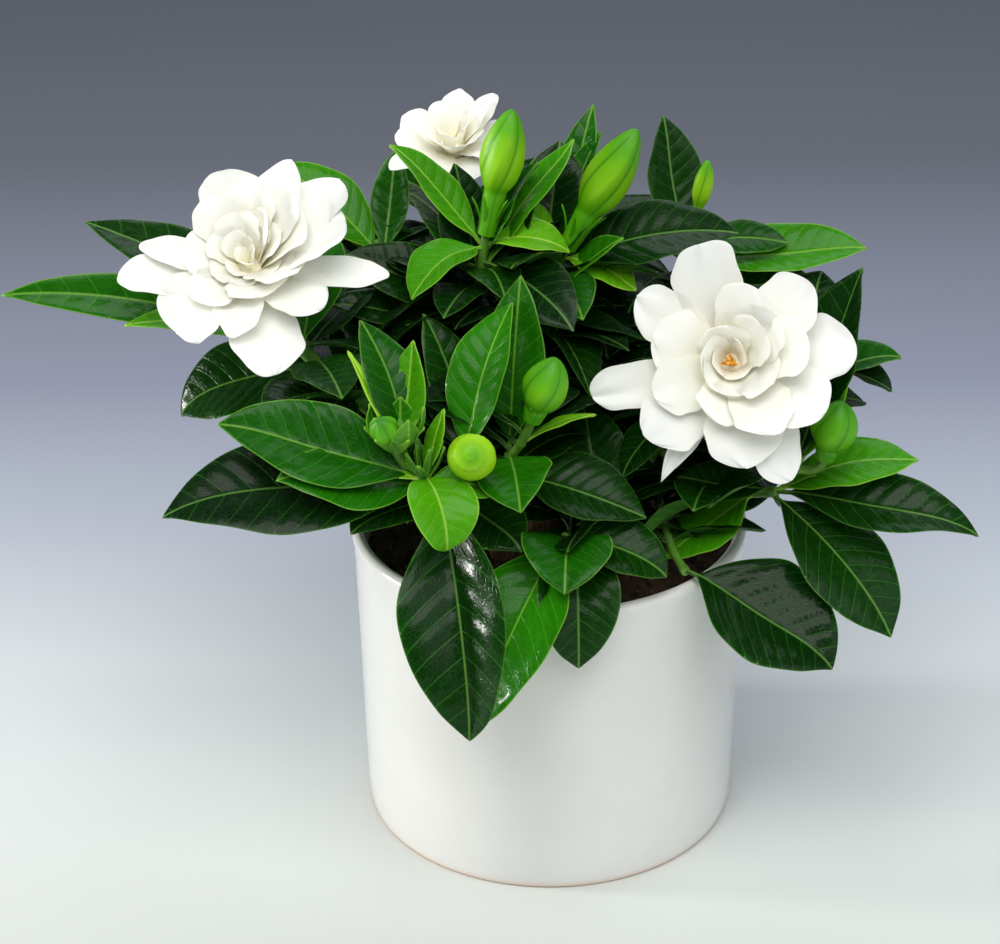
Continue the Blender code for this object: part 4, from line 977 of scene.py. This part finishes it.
def stem_end(shoot, number):
    """Where a stem of a shoot ends."""
    return np.array(SHOOTS[shoot][1][number][3], float)


def bud_radius(along, tube_share, thickest):
    """Radius at `along`: its tube, then an egg that ends in a blunt point.

    Radius of the egg = thickest * sin(pi * place up the egg^0.84)^0.55.
    """
    egg = np.clip((along - tube_share) / (1 - tube_share), 0, 1)
    calyx = 0.44 + 0.12 * np.clip(along / tube_share, 0, 1)
    return thickest * np.maximum(np.where(egg < 0.3, calyx, 0.10), np.sin(np.pi * egg ** 0.84) ** 0.55)


def bud(foot, tip, thickest, tube_length, folds, twist, light):
    """A furled bud: radius * (1 + depth * (wave - 0.6)), the wave turning by `twist` up the egg.

    The wave rises slowly across each fold and drops at the fold's edge. Its turn grows evenly with
    the place up the egg, but with the sixth power of it on a bud of one fold. Rows lie closer
    towards the tip.
    """
    axis, right, far = axes(tip - foot)
    length = np.linalg.norm(tip - foot)
    share = tube_length / length
    up = 1 - (1 - np.linspace(0, 1, 60)[:-1]) ** 1.8
    along = np.concatenate([np.linspace(0, share, 10)[:-1], share + (1 - share) * up])
    turn = round_angles(70)
    egg = np.clip((along - share) / (1 - share), 0, 1)
    late, deepest, seam_folds = (6, 0.30, 2) if folds == 1 else (1, 0.18, folds)
    phase = folds * turn[None, :] / (2 * np.pi) - (twist / 360 * egg ** late)[:, None]
    tooth = phase - np.floor(phase)
    sharp = 0.10 * folds
    wave = np.where(tooth < 1 - sharp, tooth / (1 - sharp), (1 - tooth) / sharp)
    depth = deepest * np.clip(egg * 5, 0, 1) * np.clip((1 - egg) * 9 * late, 0, 1)
    radii = bud_radius(along, share, thickest)[:, None] * (1 + depth[:, None] * (wave - 0.6))
    ring = right * np.cos(turn)[:, None] + far * np.sin(turn)[:, None]
    rings = foot + axis * length * along[:, None, None] + ring * radii[..., None]
    # Painted light: lighter on the middle of the egg and on the rise of each fold, on top of the bud's
    # light value.
    painted_glow = light + 0.15 + 0.5 * np.sin(np.pi * np.clip(egg * 0.9 + 0.1, 0, 1))[:, None] + 0.12 * wave
    return skin(rings, foot, tip, {"kind": triples(phase, painted_glow, seam_folds)})


def sepal(base, way, outward, length, width, spread):
    """A narrow green blade that leaves a calyx along its axis and curls away by `spread`.

    Its lean off the axis runs from the first value of `spread` to the second; its half width is a
    sine to the power 0.7.
    """
    along = np.linspace(0, 1, 12)[:-1]
    lean = np.radians(spread[0] + (spread[1] - spread[0]) * along)
    steps = np.cos(lean)[:, None] * way + np.sin(lean)[:, None] * outward
    centres = base + np.cumsum(steps, 0) * length / 12
    tip = centres[-1] + steps[-1] * length / 12
    over = np.cross(way, outward)
    normals = np.cross(steps, over)
    half = width / 2 * np.maximum(np.sin(np.pi * (0.12 + 0.88 * along)) ** 0.7, 0.3)
    turn = round_angles(8)
    rings = (centres[:, None] + (half[:, None] * np.cos(turn))[..., None] * over
             + (0.35 * np.sin(turn))[None, :, None] * normals[:, None])
    if np.dot(np.cross(over, normals[0]), steps[0]) < 0:
        rings = rings[:, ::-1]
    return skin(rings, centres[0], tip, {"kind": np.zeros(rings.shape) + SEPAL_PAINT})


print("radii of a bud from seat to tip:", bud_radius(np.linspace(0, 1, 6), 0.25, 7.0).round(1))

# %% Buds
# The last column, light, is painted light: how much lighter each bud's lime is drawn.
BUDS = {                                    # shoot, stem, tip, thickest, tube, folds, turn, light
    "bud_top": ("shoot_top", 0, (-12, -2, 265), 7.0, 14, 4, 250, 0.10),
    "bud_upper_right": ("shoot_top", 1, (29, 0, 257), 7.4, 13, 4, 230, 0.05),
    "bud_back_right": ("shoot_back_right", 0, (56, 38, 232), 3.4, 8, 3, 120, 0.20),
    "bud_centre": ("shoot_front_left", 4, (1, -60, 202), 7.0, 4, 4, 180, -0.08),
    "bud_spiral": ("shoot_front_left", 1, (-26, -86, 181), 7.6, 4, 1, 760, 0.42),
    "bud_cluster": ("shoot_front_left", 2, (-55, -79, 190), 4.6, 3, 5, 60, -0.20),
    "bud_right": ("shoot_right", 1, (94, -51, 181), 7.4, 4, 4, 200, -0.15),
}
BUD_SEPALS, SEPAL_WIDTH = 5, 1.5
CALYX_SHARE = 0.288                         # where sepals leave, as a share of the thickest radius
for name, (shoot, number, tip, thickest, tube_length, folds, twist, light) in BUDS.items():
    head, tip = stem_end(shoot, number), np.array(tip, float)
    axis, right, far = axes(tip - head)
    foot = head + axis * SEAT_GAP
    size = np.linalg.norm(tip - head)
    skins = [bud(foot, tip, thickest, tube_length, folds, twist, light)]
    for k in range(BUD_SEPALS):
        turn = 2 * np.pi * k / BUD_SEPALS + 0.4
        out = right * math.cos(turn) + far * math.sin(turn)
        skins.append(sepal(foot + out * CALYX_SHARE * thickest, axis, out,
                           size * random.uniform(0.28, 0.42), SEPAL_WIDTH, (8, random.uniform(15, 55))))
    piece(name + "_furled", skins, bud_lime, name)

# %% [markdown]
# ## Blooms
# A double gardenia has two or three whorls of petals as thick as card, velvety white, and a warm
# cream where they meet in the throat. Each petal is a spoon: narrow at its root, widest at two
# thirds, round or drawn to a point at its end, with a lip that rolls back. A petal could be
# sculpted and copied round, but no two are alike. So every petal of the two front blooms has a row
# of its own, and only the inner whorls of the back one are drawn from a rule with a fixed seed.

# %% Velvet petal
# Living petals with a skin of tiny bumps: the eye sees matt white that light shines into.
velvet, tree, shader, at = finish("gardenia_petal_velvet")
kind = add(tree, "Attribute", {"attribute_name": "kind"}).outputs["Vector"]
marks = add(tree, "SeparateXYZ", None, (kind,)).outputs               # share of the length, warmth
cloud = add(tree, "TexNoise", None, {"Vector": at, "Scale": 120, "Detail": 3})                # 8 mm
# Grain of 1.1 mm: the real bumps of the skin are ten times finer and would not show.
grain = add(tree, "TexNoise", None, {"Vector": at, "Scale": 900, "Detail": 2})
bright = add(tree, "Math", TIMES_PLUS, (cloud, 0.10, marks["X"]))
white = add(tree, "ValToRGB", {"stops": [
    (0.0, "#ece2ae"), (0.20, "#f7f1d2"), (0.45, "#fbfaee"), (1.0, "#fdfef8")]}, (bright,))
warmed = add(tree, "Mix", COLOURS, {"Factor": marks["Y"], "A": white, "B": linear("#f3ecc4")})
relief = add(tree, "Math", TIMES_PLUS, (grain, 0.25, cloud))
bump = add(tree, "Bump", None, {"Strength": 0.15, "Distance": 0.0005, "Height": relief})
fill(shader, {"Base Color": warmed, "Normal": bump, "Roughness": 0.55, "Sheen Weight": 0.15,
              "Subsurface Weight": 0.3, "Subsurface Radius": (1.0, 0.92, 0.7), "Subsurface Scale": 0.004})
print(velvet.name, "nodes:", len(tree.nodes))

# %% Petals in rows
def swirl(height, count, first, length, width, foot, tip, cup):
    """A whorl of petals that are nearly alike, spaced evenly round the throat with a little chance."""
    return [(height, first + 360 / count * k + random.normal(0, 5), length * random.uniform(0.94, 1.05),
             width * random.uniform(0.94, 1.06), foot + random.normal(0, 2), tip + random.normal(0, 3),
             cup, 6, 0) for k in range(count)]


random = np.random.default_rng(7)
# A bloom row: its shoot, the way that it faces, and its petals. A petal row: height of its root
# above the seat, angle round the bloom, length, width, opening at foot and tip, cup, lip, point.
BLOOMS = {
    "bloom_left": ("shoot_left", (-0.14, -0.50, 0.86), [
        (3.4, 102, 34, 25, 38, 49, 22, 6, 0), (5.0, 60, 37, 22, 50, 62, 22, 8, 0.3),
        (3.4, 40, 40, 31, 62, 78, 20, 6, 0.1), (5.0, 8, 35, 30, 56, 76, 22, 8, 0),
        (5.0, 172, 36, 14, 58, 82, 22, 20, 0.3), (3.4, 186, 42, 19, 70, 78, 18, 8, 0.25),
        (5.0, 222, 33, 28, 57, 122, 20, 26, 0), (3.4, 262, 29, 20, 58, 94, 18, 10, 0.4),
        (5.0, 281, 37, 27, 88, 108, 14, 8, 0.15), (3.4, 321, 30, 25, 68, 92, 18, 8, 0.1),
        (5.0, 352, 43, 18, 87, 96, 20, 12, 0.35), (6.4, 284, 17, 23, 50, 74, 24, 4, 0),
        (6.4, 226, 22, 20, 58, 76, 26, 6, 0.2), (6.4, 328, 21, 22, 48, 70, 28, 6, 0),
        (6.4, 174, 21, 19, 46, 66, 30, 6, 0), (6.4, 120, 26, 22, 34, 44, 30, 8, 0),
        (6.4, 84, 27, 22, 32, 48, 30, 6, 0), (6.4, 50, 27, 24, 42, 54, 28, 8, 0),
        (6.4, 14, 24, 22, 44, 60, 30, 8, 0), (7.4, 104, 18, 18, 22, 38, 44, 4, 0),
        (7.4, 62, 19, 17, 24, 44, 44, 4, 0), (7.4, 150, 15, 15, 28, 48, 44, 4, 0),
        (7.4, 20, 16, 15, 30, 50, 40, 4, 0), (7.4, 255, 10, 15, 40, 70, 32, 2, 0),
        (7.4, 310, 11, 16, 38, 66, 32, 2, 0), (7.4, 205, 12, 14, 42, 68, 30, 2, 0),
        (8.2, 95, 9, 8, 14, 26, 60, 0, 0.2), (8.2, 30, 9, 8, 20, 36, 60, 0, 0.2),
        (8.2, 285, 7, 10, 34, 66, 30, 0, 0), (9.0, 265, 7, 7, 12, 34, 60, 0, 0.1),
        (9.0, 20, 8, 7, 8, 20, 60, 0, 0.2), (9.0, 150, 8, 7, 10, 24, 60, 0, 0.2),
        (8.2, 225, 8, 9, 26, 52, 40, 0, 0), (7.8, 130, 12, 11, 18, 34, 55, 2, 0),
        (7.8, 68, 14, 11, 20, 40, 55, 2, 0.2), (7.8, 40, 13, 10, 26, 44, 50, 2, 0),
    ]),
    "bloom_right": ("shoot_right", (-0.12, -0.85, 0.50), [
        (3.4, 104, 40, 26, 58, 70, 20, 6, 0), (5.0, 43, 35, 25, 62, 86, 18, 8, 0.1),
        (3.4, 6, 39, 26, 66, 94, 18, 8, 0.1), (5.0, 329, 35, 24, 60, 76, 18, 8, 0),
        (3.4, 296, 41, 22, 72, 98, 16, 8, 0.15), (5.0, 279, 34, 28, 64, 86, 16, 8, 0),
        (3.4, 238, 43, 12, 78, 106, 20, 14, 0.8), (5.0, 223, 36, 24, 62, 88, 18, 8, 0),
        (3.4, 193, 46, 18, 66, 96, 22, 30, 0.1), (5.0, 144, 36, 20, 66, 96, 24, 10, 0),
        (6.0, 73, 27, 23, 43, 60, 24, 6, 0), (6.0, 160, 27, 24, 46, 76, 22, 6, 0),
        (6.4, 205, 28, 22, 47, 74, 22, 6, 0), (6.6, 262, 23, 22, 41, 66, 26, 6, 0),
        (6.4, 301, 31, 24, 47, 66, 22, 6, 0), (6.6, 12, 26, 26, 47, 76, 24, 6, 0),
        (6.0, 38, 24, 22, 36, 54, 30, 6, 0), (7.2, 330, 19, 22, 30, 56, 40, 6, 0),
        (7.2, 40, 18, 22, 28, 50, 42, 6, 0), (7.2, 100, 16, 20, 22, 36, 52, 2, 0),
        (7.2, 172, 15, 20, 20, 30, 56, 2, 0), (7.2, 232, 16, 22, 24, 36, 54, 2, 0),
        (7.2, 284, 16, 20, 26, 44, 48, 2, 0), (8.0, 60, 10, 14, 12, 26, 62, 0, 0),
        (8.0, 190, 10, 14, 12, 20, 64, 0, 0), (8.0, 300, 10, 14, 16, 26, 62, 0, 0),
    ]),
    "bloom_back": ("shoot_back_left", (-0.05, -0.35, 0.93), [
        (3.4, 141, 22, 17, 60, 86, 20, 10, 0.1), (5.0, 84, 22, 16, 54, 70, 20, 10, 0.3),
        (3.4, 42, 24, 15, 47, 60, 20, 10, 0.35), (5.0, 214, 25, 11, 64, 88, 20, 14, 0.4),
        (3.4, 182, 20, 15, 52, 74, 20, 10, 0), (5.0, 246, 20, 17, 60, 82, 20, 10, 0),
        (3.4, 288, 20, 17, 62, 86, 18, 10, 0), (5.0, 330, 22, 17, 58, 78, 20, 10, 0),
        (3.4, 8, 22, 17, 58, 80, 20, 10, 0),
    ] + swirl(6.4, 5, 30, 16, 15, 34, 48, 35) + swirl(7.6, 3, 0, 11, 11, 14, 20, 50)),
}
print("petals:", {name: len(petals) for name, (shoot, facing, petals) in BLOOMS.items()})

# %% Petal surface
TUBE_LENGTH, HALF_PETAL, PETAL_ROLL = 9.0, 0.25, 9.0
ROOT_RADII = ((5.5, 2.3), (8.9, 3.0), (99, 1.3))      # below a height, how far off the axis a root is
PETAL_GRID = (32, 10)                                 # rows along, and half the columns across


def petal(foot, facing, row):
    """One spoon-shaped petal, a closed lens bent along a curve that opens from foot to tip.

    Half width = 1.24 * along^0.6 * (1 - along^5)^(0.46 + 0.5 * sharp), drawn in to a point by
    `point`, where `sharp` is the point plus a little chance. Across, the sheet is an arc of half
    angle `cup`, which flattens towards the tip, with slow waves that grow towards the margin.
    Along, the opening gains `lip` degrees in the last part, and the margin lies a little nearer or
    farther from place to place.
    """
    height, angle, length, width, foot_opening, tip_opening, cup, lip, point = row
    axis, right, far = axes(facing)
    outward = right * math.cos(math.radians(angle)) + far * math.sin(math.radians(angle))
    rows, halves = PETAL_GRID
    sharp = min(point + random.uniform(0.05, 0.5), 0.9)
    along = 1 - (1 - np.linspace(0, 1, rows + 1)[:-1]) ** 2.0
    fine = np.linspace(0, 1, 81)
    opening = (foot_opening + (tip_opening - foot_opening) * fine
               + lip * (np.clip(fine - 0.55, 0, 1) ** 2 / 0.2 - 0.15))
    middle = np.radians((opening[:-1] + opening[1:]) / 2)
    steps = (np.cos(middle)[:, None] * axis + np.sin(middle)[:, None] * outward) * length / 80
    path = np.concatenate([[np.zeros(3)], np.cumsum(steps, 0)])
    root = next(radius for below, radius in ROOT_RADII if height < below)
    start = foot + axis * height + outward * root
    centres = start + read_path(along, fine, path)
    slant = np.radians(np.interp(along, fine, opening))[:, None]
    normals = np.sin(slant) * axis - np.cos(slant) * outward
    across_way = np.cross(axis, outward)
    roll = np.radians(-PETAL_ROLL + random.normal(0, 3) + random.normal(0, 5) * along)[:, None]
    sides = across_way * np.cos(roll) + normals * np.sin(roll)
    normals = normals * np.cos(roll) - across_way * np.sin(roll)
    across, side = lens(halves)
    a, chance, size = along[:, None], random.uniform(0, WHOLE_TURN, 6), width / 26
    full = 1.24 * a ** 0.6 * (1 - a ** 5) ** (0.46 + 0.5 * sharp)
    full = full * (1 - 0.8 * point * np.clip((a - 0.45) / 0.55, 0, 1) ** 1.3)
    half = width / 2 * np.maximum(full, 0.12 * (1 - a ** 12))
    half = half * (1 + (0.08 * np.sin(9 * a + chance[4] + 2 * np.sign(across))
                        + 0.05 * np.sin(23 * a + chance[5] + across * 2)) * a)
    curl = np.radians(cup) * (1 - 0.7 * a ** 3) + 1e-3
    ruffle = (0.95 * np.sin(6 * a + chance[0] + 1.2 * np.sign(across))
              + 0.5 * np.sin(15 * a + chance[1] + across)) * np.abs(across) ** 2.4
    ruffle = ruffle * a ** 1.5 * (1 - a ** 12) * size
    lift = (half * (1 - np.cos(curl * across)) / curl + ruffle
            + 0.3 * np.sin(3.4 * across + chance[2]) * a * size)
    thick = HALF_PETAL * (1 - across ** 6) * (1 - 0.5 * a ** 8)
    reach = 0.06 * np.sin(2.6 * across + chance[3]) + 0.05 * np.sin(7 * across + chance[5])
    reach = 1 + reach * a ** 3 * (1 - a ** 14)
    rings = (start + (centres - start)[:, None] * reach[..., None]
             + (half * np.sin(curl * across) / curl)[..., None] * sides[:, None]
             + (lift + side * thick)[..., None] * normals[:, None])
    warm = np.clip(0.16 * (height - 5.2), 0, 0.5) * (1 - 0.6 * a) + 0.22 * (side < 0) * (1 - 0.4 * a)
    return skin(rings, centres[0], start + path[-1], {"kind": triples(a, warm, 0)})


print("petal roots, mm off the axis:", [radius for below, radius in ROOT_RADII])

# %% Blooms with their calyx
CALYX_SEPALS, RIBS, RIB_DEPTH = 6, 6, 0.08
TUBE_PAINT = (0.3, 0.2, 0)                            # first and second mark of the petal or bud finish
for name, (shoot, facing, petals) in BLOOMS.items():
    axis, right, far = axes(facing)
    start = stem_end(shoot, 0) + axis * SEAT_GAP
    up = np.linspace(0, 1, 14)
    tube_radii = np.interp(up, [0, 0.4, 1], [2.2, 3.2, 4.0])
    skins = [around_path(start + axis * TUBE_LENGTH * up[:, None], tube_radii, 24, TUBE_PAINT)]
    skins += [petal(start, facing, row) for row in petals]
    piece(name + "_petals", skins, velvet, name)
    cup_radii = np.interp(np.linspace(0, 1, 10), [0, 0.5, 1], [1.6, 2.8, 2.7])
    green = [around_path(start + axis * np.linspace(-4.5, 1.5, 10)[:, None], cup_radii, 30,
                         TUBE_PAINT, RIBS, RIB_DEPTH)]
    for k in range(CALYX_SEPALS):
        turn = 2 * np.pi * k / CALYX_SEPALS + 0.2
        out = right * math.cos(turn) + far * math.sin(turn)
        green.append(sepal(start + out * 2.4 + axis * 0.5, axis, out, random.uniform(12, 18), 1.6,
                           (35, random.uniform(60, 100))))
    piece(name + "_calyx", green, bud_lime, None)

# %% [markdown]
# ## Stamens
# In the open throat a few anthers lie together, golden at first and brown where they have shed
# their pollen. Each is a strip a few millimetres long. A hair system could scatter them. As there
# are only six, each is a short bent tube that swells towards its end, round a common foot.

# %% Pollen
# Dusty pollen on soft anthers: the eye sees matt gold with brown patches.
pollen, tree, shader, at = finish("pollen_gold")
# Patches of 2.4 mm: pollen grains are far too fine to show.
dust = add(tree, "TexNoise", None, {"Vector": at, "Scale": 420, "Detail": 4})
golds = add(tree, "ValToRGB", {"stops": [(0.36, "#8a4a10"), (0.5, "#d9932a"), (0.7, "#f2c65a")]}, (dust,))
bump = add(tree, "Bump", None, {"Strength": 0.5, "Distance": 0.0004, "Height": dust})
fill(shader, {"Base Color": golds, "Normal": bump, "Roughness": 0.75})
print(pollen.name, "nodes:", len(tree.nodes))

# %% Anthers
ANTHERS = 6
FOOT_RADII = [1.0, 1.2, 1.4, 1.4, 1.3, 1.2, 1.0, 0.6]
ANTHER_RADII = [0.3, 0.4, 0.55, 0.65, 0.7, 0.7, 0.68, 0.6, 0.5, 0.3]
axis, right, far = axes(BLOOMS["bloom_right"][1])
start = stem_end("shoot_right", 0) + axis * (SEAT_GAP + TUBE_LENGTH + GAP)
anthers = [around_path(start + axis * np.linspace(0, 2.2, 8)[:, None], FOOT_RADII, 12)]
for k in range(ANTHERS):
    turn = 2 * np.pi * (k / ANTHERS + random.uniform(-0.1, 0.1))
    lean = right * math.cos(turn) + far * math.sin(turn)
    aside = np.cross(axis, lean) * random.uniform(-1.5, 1.5)
    control = start + axis * random.uniform(3, 5) + lean * 0.4
    end = start + axis * random.uniform(3.0, 6.0) + lean * random.uniform(1.4, 3.4) + aside
    curve = bend(start + axis * 0.6, control, end, np.linspace(0, 1, 10))
    anthers.append(around_path(curve, ANTHER_RADII, 8))
piece("stamens_right_anthers", anthers, pollen, "stamens_right")

# %% [markdown]
# ## Size
# The dressed plant should fill the same box as the solids. A ruler in the viewport would do for
# one look. Both boxes are written down here, so that every run measures them.

# %% Boxes
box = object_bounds()
grown = [round((abs(b) - abs(a)) / MM, 1) for low, new in zip(cad_box, box) for a, b in zip(low, new)]
print("grown by, mm:", grown)
